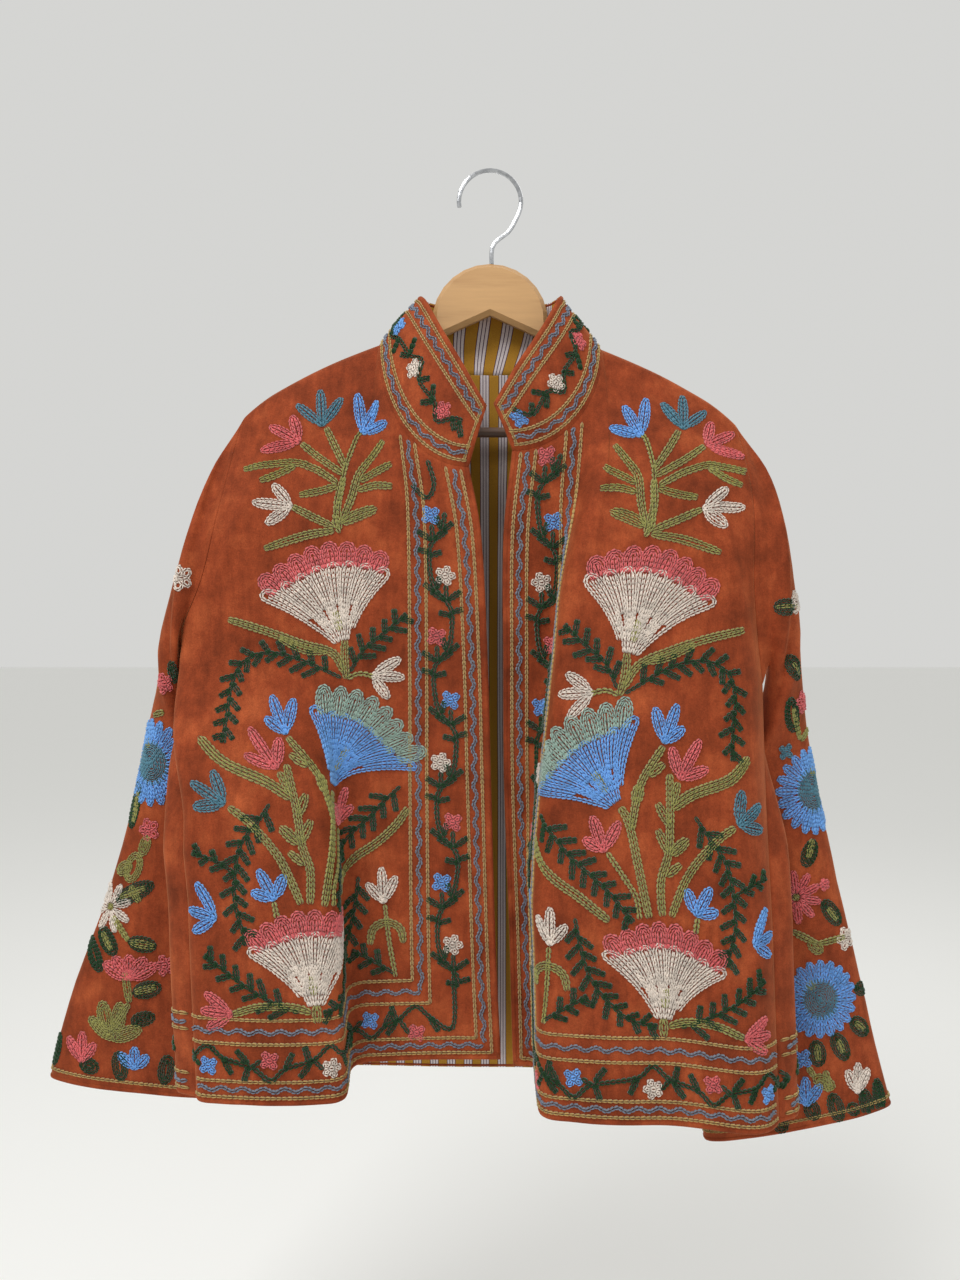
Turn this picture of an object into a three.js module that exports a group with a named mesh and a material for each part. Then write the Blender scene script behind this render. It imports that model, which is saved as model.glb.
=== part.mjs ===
// An embroidered velvet jacket with a stand collar and wide straight sleeves, hanging open on a
// wooden hanger. Millimetres, +Z up, +X to the right of somebody who faces the jacket, -Y towards
// them. The origin is the inside top of the hanger's hook, where a rail or a peg carries it.
//
// Every cloth piece is a grid of points on its outer face. A front is cut flat, with "a" measured
// sideways from its front edge and "b" down from the origin, and is then draped: along each row the
// cloth turns forward and back through a short list of bends, so its folds take up real cloth.
import * as THREE from "three";

// ---- Driving dimensions ------------------------------------------------------------------------
const WALL = 2.6; // velvet and its lining together
const VELVET = 1.6; // velvet alone, where the striped lining is a piece of its own
const LINING = 1.0;
const GAP = 0.3; // between two pieces at a seam
const SHARP_SEAM = 0.7; // the same at the armholes and the sides, where the cloth turns sharply

const NECK_HALF = 99; // side of the neck, from the middle
const TIP_HALF = 218; // shoulder tip, from the middle
const SHOULDER_RISE = 4.5; // how far the shoulder line arches above a straight one
const CHEST_WIDTH = 288; // one front, flat, at the underarm
const HEM_WIDTH = 296; // one front, flat, at the hem

const EDGE_OFFSET = 19; // front edge to the middle, at the neck
const NECK_SHARE = 0.38; // share of a front's width that lies under the neckline
const ARCH_DEPTH = 10.5; // half the thickness of the shoulder where it bends over the hanger
const ARCH_DROP = 9; // depth below the shoulder line where that bend ends
const BACK_Y = 17; // the middle of the back

const COLLAR_BULGE = 3.5;

const HANGER_THICK = 12;
const HANGER_BEVEL = 4;
const HANGER_SEAT = 4.4; // hanger's top edge below the shoulder line
const HANGER_REACH = 206;
const HEAD_RADIUS = 52;
const HEAD_B = 135; // centre of the round head
const BAR_B = 234;
const BAR_RADIUS = 4.5;
const BAR_SEAT = 188; // inner faces of the arm ends, which hold the bar
const WIRE_RADIUS = 2;

const DEG = Math.PI / 180;

// ---- Small helpers -----------------------------------------------------------------------------
const clamp01 = (t) => Math.min(1, Math.max(0, t));
const mix = (a, b, t) => a + (b - a) * t;
const smooth = (t) => clamp01(t) ** 2 * (3 - 2 * clamp01(t));
const vec = (x, y, z) => new THREE.Vector3(x, y, z);

// Value of a column of a table at a place along its key column, on a smooth curve through the rows.
function along(table, key, column, at) {
  const last = table.length - 1;
  if (at <= table[0][key]) return table[0][column];
  if (at >= table[last][key]) return table[last][column];
  const i = table.findIndex((row, k) => k < last && at <= table[k + 1][key]);
  const slope = (k) => {
    const lo = table[Math.max(0, k - 1)];
    const hi = table[Math.min(last, k + 1)];
    return (hi[column] - lo[column]) / (hi[key] - lo[key]);
  };
  const span = table[i + 1][key] - table[i][key];
  const t = (at - table[i][key]) / span;
  const [t2, t3] = [t * t, t * t * t];
  return (
    (2 * t3 - 3 * t2 + 1) * table[i][column] +
    (t3 - 2 * t2 + t) * span * slope(i) +
    (3 * t2 - 2 * t3) * table[i + 1][column] +
    (t3 - t2) * span * slope(i + 1)
  );
}

// A column of a grid of points; -1 is the last one.
const columnOf = (grid, c) => grid.map((row) => row[c < 0 ? row.length + c : c]);

// Shares from 0 to 1 made of stretches, each ending at "to" after so many equal steps.
function shares(stretches) {
  const found = [0];
  for (const { to, steps } of stretches) {
    const from = found[found.length - 1];
    for (let k = 1; k <= steps; k++) found.push(mix(from, to, k / steps));
  }
  return found;
}

// ---- The fronts --------------------------------------------------------------------------------
// bends: the cloth turns by "turn" degrees over a stretch "over". A bend starts at depth "from"
// around the place "first", has turned all the way by "whole" and has moved to "at" by "moved".
const FRONTS = {
  left: {
    sign: -1,
    neckB: 156,
    tipB: 215,
    underarmB: 440,
    hemB: 803,
    neckDrop: 118,
    hollow: 16.5,
    hollowLow: 2,
    edgeLift: 14,
    liftAt: 138,
    sideLift: 5,
    edge: [
      { b: 274, x: -19, y: -50 },
      { b: 330, x: -9, y: -42 },
      { b: 444, x: -3, y: -32 },
      { b: 560, x: 0, y: -27 },
      { b: 700, x: 4, y: -24 },
      { b: 812, x: 9, y: -22 },
    ],
    bends: [
      { at: 60, first: 60, over: 90, turn: 5, from: 230, whole: 320, moved: 420 },
      { at: 129, first: 136, over: 20, turn: 88, from: 425, whole: 580, moved: 640 },
      { at: 168, first: 156, over: 26, turn: -80, from: 425, whole: 580, moved: 640 },
      { at: 235, first: 215, over: 80, turn: -18, from: 230, whole: 420, moved: 600 },
      { at: 290, first: 255, over: 30, turn: -100, from: 340, whole: 450, moved: 600 },
    ],
    columns: [
      { to: 0.17, steps: 3 },
      { to: 0.32, steps: 3 },
      { to: 0.36, steps: 1 },
      { to: NECK_SHARE, steps: 2 },
      { to: 0.62, steps: 9 },
      { to: 0.86, steps: 4 },
      { to: 1, steps: 4 },
    ],
  },
  right: {
    sign: 1,
    neckB: 160,
    tipB: 222,
    underarmB: 452,
    hemB: 812,
    neckDrop: 100,
    hollow: 10,
    hollowLow: 1,
    edgeLift: 12,
    liftAt: 50,
    sideLift: -14,
    edge: [
      { b: 260, x: 19, y: -48 },
      { b: 330, x: 12, y: -36 },
      { b: 444, x: 12, y: -22 },
      { b: 560, x: 13, y: -14 },
      { b: 700, x: 18, y: -9 },
      { b: 812, x: 21, y: -9 },
    ],
    bends: [
      { at: 17, first: 68, over: 16, turn: 90, from: 190, whole: 395, moved: 640 },
      { at: 86, first: 82, over: 30, turn: -80, from: 190, whole: 395, moved: 640 },
      { at: 150, first: 130, over: 90, turn: -16, from: 220, whole: 360, moved: 500 },
      { at: 276, first: 212, over: 60, turn: -60, from: 220, whole: 420, moved: 640 },
    ],
    columns: [
      { to: 0.02, steps: 1 },
      { to: 0.1, steps: 4 },
      { to: 0.32, steps: 8 },
      { to: 0.36, steps: 1 },
      { to: NECK_SHARE, steps: 2 },
      { to: 0.72, steps: 4 },
      { to: 1, steps: 7 },
    ],
  },
};

// Rows of every body piece: 0 is the shoulder or neck seam, 1 the underarm and 2 the hem.
const UPPER_ROWS = [0, 0.014, 0.042, 0.14, 0.29, 0.45, 0.61, 0.77, 0.91, 1];
const LOWER_ROWS = shares([{ to: 0.3, steps: 3 }, { to: 1, steps: 5 }]).slice(1).map((t) => 1 + t);
const BODY_ROWS = [...UPPER_ROWS, ...LOWER_ROWS];
const UNDERARM_ROW = UPPER_ROWS.length - 1;

// Depth of the shoulder line at a place along X.
function ridgeB(x) {
  const { neckB, tipB } = x < 0 ? FRONTS.left : FRONTS.right;
  const t = (Math.abs(x) - NECK_HALF) / (TIP_HALF - NECK_HALF);
  return mix(neckB, tipB, t) - SHOULDER_RISE * Math.sin(Math.PI * clamp01(t));
}

// How far a wall that bends over the shoulder has come away from the shoulder line.
const archAt = (drop) => ARCH_DEPTH * Math.sqrt(1 - (1 - clamp01(drop / ARCH_DROP)) ** 2);

// Flat place of a front's upper edge: its neckline, then its shoulder.
function frontTop(front, share) {
  if (share > NECK_SHARE) {
    const t = (share - NECK_SHARE) / (1 - NECK_SHARE);
    const x = mix(NECK_HALF, TIP_HALF, t);
    return { a: x - EDGE_OFFSET, b: ridgeB(front.sign * x) };
  }
  const turn = ((share / NECK_SHARE) * Math.PI) / 2;
  const a = (NECK_HALF - EDGE_OFFSET) * Math.sin(turn);
  return { a, b: front.neckB + front.neckDrop * Math.cos(turn) };
}

// Flat place of a share of a front's width on a row.
function frontFlat(front, share, row) {
  const { underarmB, hemB } = front;
  if (row >= 1) {
    return { a: share * mix(CHEST_WIDTH, HEM_WIDTH, row - 1), b: mix(underarmB, hemB, row - 1) };
  }
  const top = frontTop(front, share);
  const spread = mix(1 - (1 - row) ** 2, row, smooth((share - NECK_SHARE) / (1 - NECK_SHARE)));
  const hollow = front.hollow * share ** 4 * Math.sin(Math.PI * row ** front.hollowLow);
  return { a: mix(top.a, share * CHEST_WIDTH, spread) - hollow, b: mix(top.b, underarmB, row) };
}

// Direction of the cloth at a flat place, seen from above: 0 runs sideways, 90 degrees forward.
function heading(front, a, b) {
  let turned = 0;
  for (const bend of front.bends) {
    const at = mix(bend.first, bend.at, clamp01((b - bend.from) / (bend.moved - bend.from)));
    const turn = bend.turn * smooth((b - bend.from) / (bend.whole - bend.from));
    turned += turn * smooth((a - at) / bend.over + 0.5);
  }
  return turned * DEG;
}

// Depth of the cloth before its folds: over the shoulder, then down to the front edge's own depth.
function hangingY(front, share, row, b) {
  const edgeY = along(front.edge, "b", "y", b);
  if (row >= 1) return edgeY;
  const topB = frontTop(front, share).b;
  const neckDrop = share < NECK_SHARE ? topB - front.neckB : 0;
  const forward = (-front.edge[0].y - ARCH_DEPTH) * (neckDrop / front.neckDrop) ** 0.8;
  const bent = archAt(neckDrop + row * (front.underarmB - topB));
  return -forward - bent + (edgeY + forward + ARCH_DEPTH) * row * (1.6 - 0.6 * row);
}

// One row of a front: points at the given shares, with the cloth's length kept along the row.
function frontRow(front, shareList, row) {
  const steps = 8;
  const start = frontFlat(front, 0, row);
  let x = front.sign * along(front.edge, "b", "x", start.b);
  let forward = 0;
  let before = start;
  return shareList.map((share, k) => {
    const from = k ? shareList[k - 1] : 0;
    for (let s = 1; s <= steps && k; s++) {
      const here = frontFlat(front, mix(from, share, s / steps), row);
      const turned = heading(front, (before.a + here.a) / 2, (before.b + here.b) / 2);
      x += (here.a - before.a) * Math.cos(turned);
      forward += (here.a - before.a) * Math.sin(turned);
      before = here;
    }
    const { a, b } = frontFlat(front, share, row);
    const grown = clamp01((b - 300) / 300);
    const edgeLift = front.edgeLift * (1 - smooth((a - front.liftAt) / 50 + 0.5));
    const sideLift = front.sideLift * smooth((a - 170) / 110);
    return vec(front.sign * x, hangingY(front, share, row, b) - forward, grown * (edgeLift + sideLift) - b);
  });
}

const frontGrid = (front) => {
  const columns = shares(front.columns);
  return BODY_ROWS.map((row) => frontRow(front, columns, row));
};

// ---- The back ----------------------------------------------------------------------------------
// Half of the back's columns, from the middle out: share of the width, then the place of the upper
// edge, with x from the middle, y, and drop below the shoulder line (or below the neck point).
const BACK_COLUMNS = [
  { share: 0, x: 0, y: 17, drop: 21 },
  { share: 0.11, x: 30, y: 17, drop: 20 },
  { share: 0.21, x: 56, y: 16.5, drop: 17 },
  { share: 0.3, x: 77, y: 15, drop: 11 },
  { share: 0.36, x: 90, y: 10.5, drop: 4.5 },
  { share: 0.4, x: 97, y: 4.5, drop: 0.8 },
  { share: 0.43, x: 99, y: 0, drop: 0 },
  { share: 0.53, x: 126, y: 0, drop: 0 },
  { share: 0.64, x: 152, y: 0, drop: 0 },
  { share: 0.75, x: 176, y: 0, drop: 0 },
  { share: 0.85, x: 194, y: 0, drop: 0 },
  { share: 0.91, x: 204, y: 0, drop: 0 },
  { share: 0.96, x: 211, y: 0, drop: 0 },
  { share: 1, x: 218, y: 0, drop: 0 },
];
const BACK_NECK_COLUMN = 6; // the row of the table that is the neck point
const BACK_MIDDLE = BACK_COLUMNS.length - 1; // the column of the whole back that is its middle
const NECK_MIDDLE_B = 158; // neck point's depth, halfway between the two sides

// Seen from above, how the back lies. Its flat part below the underarm is given by x, as a share of
// the way out to the side seam, and y. Its side, at the underarm and where it has become a roll, is
// given by how far it goes out beyond the seam and back behind it.
const BACK_PLAN = [
  { share: 0, wide: 0, y: 17 },
  { share: 0.43, wide: 0.47, y: 15 },
  { share: 0.64, wide: 0.69, y: 4 },
  { share: 0.75, wide: 0.84, y: -10 },
  { share: 0.85, wide: 1, y: -24 },
];
const BACK_PIT = [
  { share: 0.85, out: -40, behind: 30 },
  { share: 0.91, out: -20, behind: 24 },
  { share: 0.96, out: -6, behind: 13 },
  { share: 1, out: 0, behind: 0 },
];
const BACK_ROLL = [
  { share: 0.85, out: 0, behind: 38 },
  { share: 0.91, out: 19, behind: 26 },
  { share: 0.96, out: 19, behind: 10 },
  { share: 1, out: 0, behind: 0 },
];
const ROLL_GROWS_OVER = 0.4; // of the stretch from underarm to hem

// A point of one half of the back; the seam's x and the column's are counted from the middle.
function backPoint(sign, column, row, seam, meanZ) {
  const { share, x: topX, y: topY, drop: topDrop } = column;
  if (share === 1) return vec(sign * seam.x, seam.y, seam.z);
  const grown = smooth((row - 1) / ROLL_GROWS_OVER);
  const side = BACK_ROLL[0].share;
  const beside = (name, at) => {
    return mix(along(BACK_PIT, "share", name, at), along(BACK_ROLL, "share", name, at), grown);
  };
  const sideY = seam.y + beside("behind", Math.max(side, share)) * Math.min(1, row) ** 4;
  const slope = mix(sideY, BACK_Y, 1 - smooth((share - 0.5) / (side - 0.5)));
  if (row < 1) {
    const neckShare = BACK_COLUMNS[BACK_NECK_COLUMN].share;
    const neckB = mix(NECK_MIDDLE_B, ridgeB(sign * NECK_HALF), smooth(share / neckShare));
    const topB = (share < neckShare ? neckB : ridgeB(sign * topX)) + topDrop;
    const drop = row * (-meanZ.underarm - topB);
    const lowX = share >= side ? seam.pitX + beside("out", share) : share * seam.pitX;
    const x = mix(topX, lowX, row) + seam.x - mix(TIP_HALF, seam.pitX, row);
    const y = mix(topY + archAt(drop) * (1 - topY / BACK_Y), slope, smooth(drop / 150));
    return vec(sign * x, y, mix(-topB, mix(meanZ.underarm, meanZ.side, share * share), row));
  }
  const z = mix(meanZ.here, seam.z, share * share);
  if (share >= side) return vec(sign * (seam.x + beside("out", share)), sideY, z);
  const plan = (name) => along(BACK_PLAN, "share", name, share);
  return vec(sign * seam.x * mix(share, plan("wide"), grown), mix(slope, plan("y"), grown), z);
}

// Back edge of the armhole: from the shoulder line over the arch and down to the underarm.
function armholeBack(frontEdge, j) {
  const row = BODY_ROWS[j];
  const drop = frontEdge[0].z - frontEdge[j].z;
  const open = Math.sqrt(1 - row ** 2.5); // 1 at the shoulder, closing roundly at the underarm
  const y = mix(frontEdge[UNDERARM_ROW].y, archAt(drop) + 4 * Math.sin(Math.PI * row), open);
  return vec(Math.abs(frontEdge[j].x), y, frontEdge[j].z);
}

function backGrid(left, right) {
  const edges = { "-1": columnOf(left, -1), 1: columnOf(right, -1) };
  const meanAt = (j) => (edges[-1][j].z + edges[1][j].z) / 2;
  return BODY_ROWS.map((row, j) => {
    const half = (sign) => {
      const edge = edges[sign];
      const seam = row < 1 ? armholeBack(edge, j) : vec(Math.abs(edge[j].x), edge[j].y, edge[j].z);
      seam.pitX = Math.abs(edge[UNDERARM_ROW].x);
      const meanZ = { here: meanAt(j), underarm: meanAt(UNDERARM_ROW), side: edge[UNDERARM_ROW].z };
      return BACK_COLUMNS.map((column) => backPoint(sign, column, row, seam, meanZ));
    };
    return [...half(-1).reverse(), ...half(1).slice(1)];
  });
}

// ---- The sleeves -------------------------------------------------------------------------------
// Sections of a sleeve from armhole to cuff. outX, outB: its outer line. inX, inB: its inner line,
// which runs behind the side of the body. y and half: the middle and half the depth of the section.
// bow: how far the section bows down and out between its two ends.
const SLEEVES = {
  left: [
    { at: 0.09, outX: 240, outB: 262, inX: 268, inB: 439, y: -13, half: 33, bow: 4 },
    { at: 0.22, outX: 265, outB: 348, inX: 267, inB: 468, y: -5, half: 32, bow: 13 },
    { at: 0.35, outX: 286, outB: 420, inX: 256, inB: 507, y: 4, half: 29, bow: 15 },
    { at: 0.5, outX: 307, outB: 496, inX: 223, inB: 576, y: 9, half: 27, bow: 8 },
    { at: 0.63, outX: 326, outB: 575, inX: 208, inB: 632, y: 13, half: 25, bow: 3 },
    { at: 0.76, outX: 351, outB: 660, inX: 204, inB: 696, y: 13, half: 23, bow: 0 },
    { at: 0.89, outX: 384, outB: 751, inX: 214, inB: 770, y: 13, half: 20, bow: 0 },
    { at: 1, outX: 401, outB: 818, inX: 234, inB: 836, y: 13, half: 18, bow: 0 },
  ],
  right: [
    { at: 0.09, outX: 240, outB: 266, inX: 243, inB: 444, y: -20, half: 26, bow: 7 },
    { at: 0.22, outX: 260, outB: 350, inX: 242, inB: 475, y: -8, half: 27, bow: 11 },
    { at: 0.35, outX: 274, outB: 425, inX: 226, inB: 523, y: 2, half: 28, bow: 9 },
    { at: 0.5, outX: 288, outB: 505, inX: 198, inB: 584, y: 13, half: 26, bow: 7 },
    { at: 0.63, outX: 304, outB: 585, inX: 183, inB: 644, y: 13, half: 25, bow: 3 },
    { at: 0.76, outX: 325, outB: 675, inX: 178, inB: 714, y: 13, half: 23, bow: 0 },
    { at: 0.89, outX: 347, outB: 770, inX: 185, inB: 800, y: 13, half: 20, bow: 0 },
    { at: 1, outX: 366, outB: 843, inX: 196, inB: 876, y: 13, half: 18, bow: 0 },
  ],
};
const SLEEVE_ROWS = [0, 0.035, 0.08, 0.14, 0.22, 0.32, 0.43, 0.54, 0.65, 0.77, 0.89, 1];
const LOOP_FADES_AT = 0.2; // where a section has lost the armhole's own outline
const SECTION_POWER = 0.75; // below 1 flattens the front and back of a section

// The armhole as a ring of points: shoulder tip, down the front edge, then up the back edge.
function armholeRing(front, back, backColumn) {
  const down = columnOf(front.slice(0, UNDERARM_ROW + 1), -1);
  const up = columnOf(back.slice(1, UNDERARM_ROW), backColumn).reverse();
  return [...down, ...up];
}

function sleeveGrid(sign, table, ring) {
  const tip = ring[0];
  const pit = ring[UNDERARM_ROW];
  const line = pit.clone().sub(tip);
  const start = { at: 0, outX: Math.abs(tip.x), outB: -tip.z, inX: Math.abs(pit.x), inB: -pit.z };
  const stations = [{ ...start, y: 0, half: 0, bow: 0 }, ...table];
  const loop = ring.map((point, k) => {
    const down = clamp01(point.clone().sub(tip).dot(line) / line.lengthSq());
    const onFront = k <= UNDERARM_ROW;
    const share = onFront ? k / UNDERARM_ROW : (ring.length - k) / UNDERARM_ROW;
    const rest = point.clone().sub(tip).addScaledVector(line, -down);
    return { down, rest, share, side: onFront ? -1 : 1 };
  });
  return SLEEVE_ROWS.map((at) => {
    const value = (name) => along(stations, "at", name, at);
    const kept = 1 - smooth(at / LOOP_FADES_AT);
    const outer = vec(sign * value("outX"), 0, -value("outB"));
    const inner = vec(sign * value("inX"), 0, -value("inB"));
    const across = inner.clone().sub(outer).normalize();
    return loop.map(({ down, rest, share, side }) => {
      const angle = Math.PI * share;
      const reach = mix((1 - Math.cos(angle)) / 2, down, kept);
      const point = outer.clone().lerp(inner, reach);
      const middle = mix(tip.y, pit.y, down) * kept + value("y") * (1 - kept);
      const belly = side * value("half") * Math.abs(Math.sin(angle)) ** SECTION_POWER;
      const bow = sign * value("bow") * Math.sin(angle);
      point.y = middle + belly * (1 - kept) + rest.y * kept;
      point.x += rest.x * kept - across.z * bow;
      point.z += rest.z * kept + across.x * bow;
      return point;
    });
  });
}

// ---- The collar --------------------------------------------------------------------------------
// Upper edge of the collar against the share of the way round the neckline, from the left front
// end to the right front end.
const COLLAR_TOP = [
  { share: 0, x: -4, y: -58, b: 224 },
  { share: 0.1, x: -22, y: -51, b: 190 },
  { share: 0.2, x: -42, y: -38, b: 153 },
  { share: 0.29, x: -57, y: -22, b: 123 },
  { share: 0.36, x: -63, y: -3, b: 113 },
  { share: 0.42, x: -52, y: 12, b: 115 },
  { share: 0.5, x: 0, y: 19, b: 119 },
  { share: 0.58, x: 52, y: 12, b: 115 },
  { share: 0.64, x: 64, y: -3, b: 113 },
  { share: 0.71, x: 60, y: -22, b: 122 },
  { share: 0.8, x: 45, y: -38, b: 151 },
  { share: 0.9, x: 22, y: -51, b: 188 },
  { share: 1, x: 3, y: -58, b: 222 },
];
const COLLAR_ROWS = shares([{ to: 1, steps: 3 }]);

// The column of a front that ends at the neck point.
const neckColumn = (front) => shares(front.columns).findIndex((s) => s >= NECK_SHARE - 1e-9);

// Points of the neckline from one front end to the other, as the collar is sewn on.
function neckline(left, right, back) {
  const leftRun = left[0].slice(0, neckColumn(FRONTS.left) + 1);
  const backRun = back[0].slice(BACK_MIDDLE - BACK_NECK_COLUMN + 1, BACK_MIDDLE + BACK_NECK_COLUMN);
  const rightRun = right[0].slice(0, neckColumn(FRONTS.right) + 1).reverse();
  return [...leftRun, ...backRun, ...rightRun];
}

function collarGrid(base, rows) {
  const lengths = [0];
  for (let k = 1; k < base.length; k++) lengths.push(lengths[k - 1] + base[k].distanceTo(base[k - 1]));
  const whole = lengths[lengths.length - 1];
  return rows.map((up) =>
    base.map((foot, k) => {
      const share = lengths[k] / whole;
      const top = vec(0, 0, 0);
      top.x = along(COLLAR_TOP, "share", "x", share);
      top.y = along(COLLAR_TOP, "share", "y", share);
      top.z = -along(COLLAR_TOP, "share", "b", share);
      const point = foot.clone().lerp(top, up);
      const away = vec(point.x, point.y * 1.6, 0).normalize();
      return point.addScaledVector(away, COLLAR_BULGE * Math.sin(Math.PI * up));
    }),
  );
}

// ---- From grids to walls -----------------------------------------------------------------------
// Normals of a grid, facing out; round is true for a tube, whose columns close on themselves.
function normalsOf(grid, outward, round) {
  const [rows, columns] = [grid.length, grid[0].length];
  const at = (r, c) => grid[r][round ? (c + columns) % columns : Math.min(columns - 1, Math.max(0, c))];
  return grid.map((row, r) =>
    row.map((_, c) => {
      const across = at(r, c + 1).clone().sub(at(r, c - 1));
      const down = at(Math.min(rows - 1, r + 1), c).clone().sub(at(Math.max(0, r - 1), c));
      return across.cross(down).multiplyScalar(outward).normalize();
    }),
  );
}

// Moves the points of one edge of a grid into it, square to that edge, which opens half a seam.
function trim(edge, inside, amount = GAP / 2) {
  const before = edge.map((point) => point.clone());
  const last = edge.length - 1;
  edge.forEach((point, k) => {
    const ahead = before[Math.min(last, k + 1)].clone().sub(before[Math.max(0, k - 1)]).normalize();
    const inward = inside[k].clone().sub(before[k]);
    inward.addScaledVector(ahead, -inward.dot(ahead)).normalize();
    point.addScaledVector(inward, amount);
  });
}

// A closed wall between two depths under a face, both counted in along the face's normals.
function wallGeometry({ grid, normals, round }, from, to) {
  const [rows, columns] = [grid.length, grid[0].length];
  const positions = [];
  for (const depth of [from, to]) {
    for (let r = 0; r < rows; r++) {
      for (let c = 0; c < columns; c++) {
        const point = grid[r][c].clone().addScaledVector(normals[r][c], -depth);
        positions.push(point.x, point.y, point.z);
      }
    }
  }
  const id = (r, c, layer) => (layer * rows + r) * columns + (c % columns);
  const faces = [];
  const quad = (p, q, s, t) => faces.push(p, q, s, p, s, t);
  const lastColumn = round ? columns : columns - 1;
  for (let r = 0; r + 1 < rows; r++) {
    for (let c = 0; c < lastColumn; c++) {
      quad(id(r, c, 0), id(r + 1, c, 0), id(r + 1, c + 1, 0), id(r, c + 1, 0));
      quad(id(r, c, 1), id(r, c + 1, 1), id(r + 1, c + 1, 1), id(r + 1, c, 1));
    }
  }
  for (let c = 0; c < lastColumn; c++) {
    quad(id(0, c, 0), id(0, c + 1, 0), id(0, c + 1, 1), id(0, c, 1));
    quad(id(rows - 1, c, 1), id(rows - 1, c + 1, 1), id(rows - 1, c + 1, 0), id(rows - 1, c, 0));
  }
  for (let r = 0; r + 1 < rows && !round; r++) {
    quad(id(r, 0, 1), id(r + 1, 0, 1), id(r + 1, 0, 0), id(r, 0, 0));
    const c = columns - 1;
    quad(id(r, c, 0), id(r + 1, c, 0), id(r + 1, c, 1), id(r, c, 1));
  }
  return closed(positions, faces);
}

// A geometry from positions and faces, turned to face out whichever way the faces were listed.
function closed(positions, faces) {
  const point = (k) => vec(...positions.slice(3 * k, 3 * k + 3));
  let volume = 0;
  for (let f = 0; f < faces.length; f += 3) {
    volume += point(faces[f]).dot(point(faces[f + 1]).cross(point(faces[f + 2])));
  }
  if (volume < 0) {
    for (let f = 0; f < faces.length; f += 3) [faces[f + 1], faces[f + 2]] = [faces[f + 2], faces[f + 1]];
  }
  const geometry = new THREE.BufferGeometry();
  geometry.setAttribute("position", new THREE.Float32BufferAttribute(positions, 3));
  geometry.setIndex(faces);
  geometry.computeVertexNormals();
  return geometry;
}

// Gives the same normal to points of different pieces that meet at a seam.
function unite(...normals) {
  const sum = normals.reduce((total, n) => total.add(n), vec(0, 0, 0)).normalize();
  normals.forEach((n) => n.copy(sum));
}

// ---- The hanger --------------------------------------------------------------------------------
function hangerGeometry() {
  const side = (sign) => {
    const tipB = ridgeB(sign * TIP_HALF);
    const points = [];
    for (let k = 0; k <= 7; k++) {
      const turn = ((Math.PI / 2 + 0.06) * k) / 7;
      points.push([HEAD_RADIUS * Math.sin(turn), -HEAD_B + HEAD_RADIUS * Math.cos(turn)]);
    }
    for (const x of [66, 82, 99, 116, 134, 152, 170, 186, 198]) {
      const clear = mix(10, HANGER_SEAT, smooth((x - 100) / 34));
      points.push([x, -ridgeB(sign * x) - clear]);
    }
    points.push([HANGER_REACH - 2, -tipB - 6], [HANGER_REACH, -tipB - 13], [HANGER_REACH - 1, -BAR_B - 9]);
    points.push([HANGER_REACH - 7, -BAR_B - 15], [BAR_SEAT, -BAR_B - 12], [BAR_SEAT, -BAR_B + 8]);
    points.push([150, -216], [100, -188], [44, -149], [0, -129]);
    return points.map(([x, z]) => new THREE.Vector2(sign * x, z));
  };
  const shape = new THREE.Shape([...side(1), ...side(-1).slice(1, -1).reverse()]);
  const geometry = new THREE.ExtrudeGeometry(shape, {
    depth: HANGER_THICK - 2 * HANGER_BEVEL,
    bevelThickness: HANGER_BEVEL,
    bevelSize: HANGER_BEVEL,
    bevelOffset: -HANGER_BEVEL,
    bevelSegments: 1,
  });
  geometry.rotateX(Math.PI / 2);
  return geometry.translate(0, HANGER_THICK / 2 - HANGER_BEVEL, 0);
}

function hookGeometry() {
  const ring = 28; // radius of the hook's round part, to the middle of the wire
  const centre = -ring + WIRE_RADIUS; // puts the inside of its top at the origin
  const path = new THREE.CurvePath();
  const points = [];
  for (let k = 0; k <= 20; k++) {
    const turn = mix(-100, 118, k / 20) * DEG;
    points.push(vec(ring * Math.sin(turn), 0, centre + ring * Math.cos(turn)));
  }
  points.push(vec(17, 0, -53), vec(8, 0, -60), vec(3, 0, -65), vec(1.5, 0, -71));
  points.push(vec(1.5, 0, -HEAD_B + HEAD_RADIUS + GAP));
  path.add(new THREE.CatmullRomCurve3(points, false, "centripetal"));
  const section = new THREE.Shape();
  section.absarc(0, 0, WIRE_RADIUS, 0, 2 * Math.PI);
  return new THREE.ExtrudeGeometry(section, { extrudePath: path.curves[0], steps: 32, curveSegments: 4 });
}

function barGeometry() {
  const length = 2 * (BAR_SEAT - GAP);
  const geometry = new THREE.CylinderGeometry(BAR_RADIUS, BAR_RADIUS, length, 16);
  return geometry.rotateZ(Math.PI / 2).translate(0, 0, -BAR_B);
}

// ---- Assembly ----------------------------------------------------------------------------------
const VELVET_LOOK = { color: 0xa34a2a, roughness: 0.85, metalness: 0 };
const STRIPED_LOOK = { color: 0xb98a4e, roughness: 0.9, metalness: 0 };
const WOOD_LOOK = { color: 0xc79a66, roughness: 0.55, metalness: 0 };
const DARK_WOOD_LOOK = { color: 0x4a2f20, roughness: 0.6, metalness: 0 };
const CHROME_LOOK = { color: 0xc8ccd0, roughness: 0.2, metalness: 1 };

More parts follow.
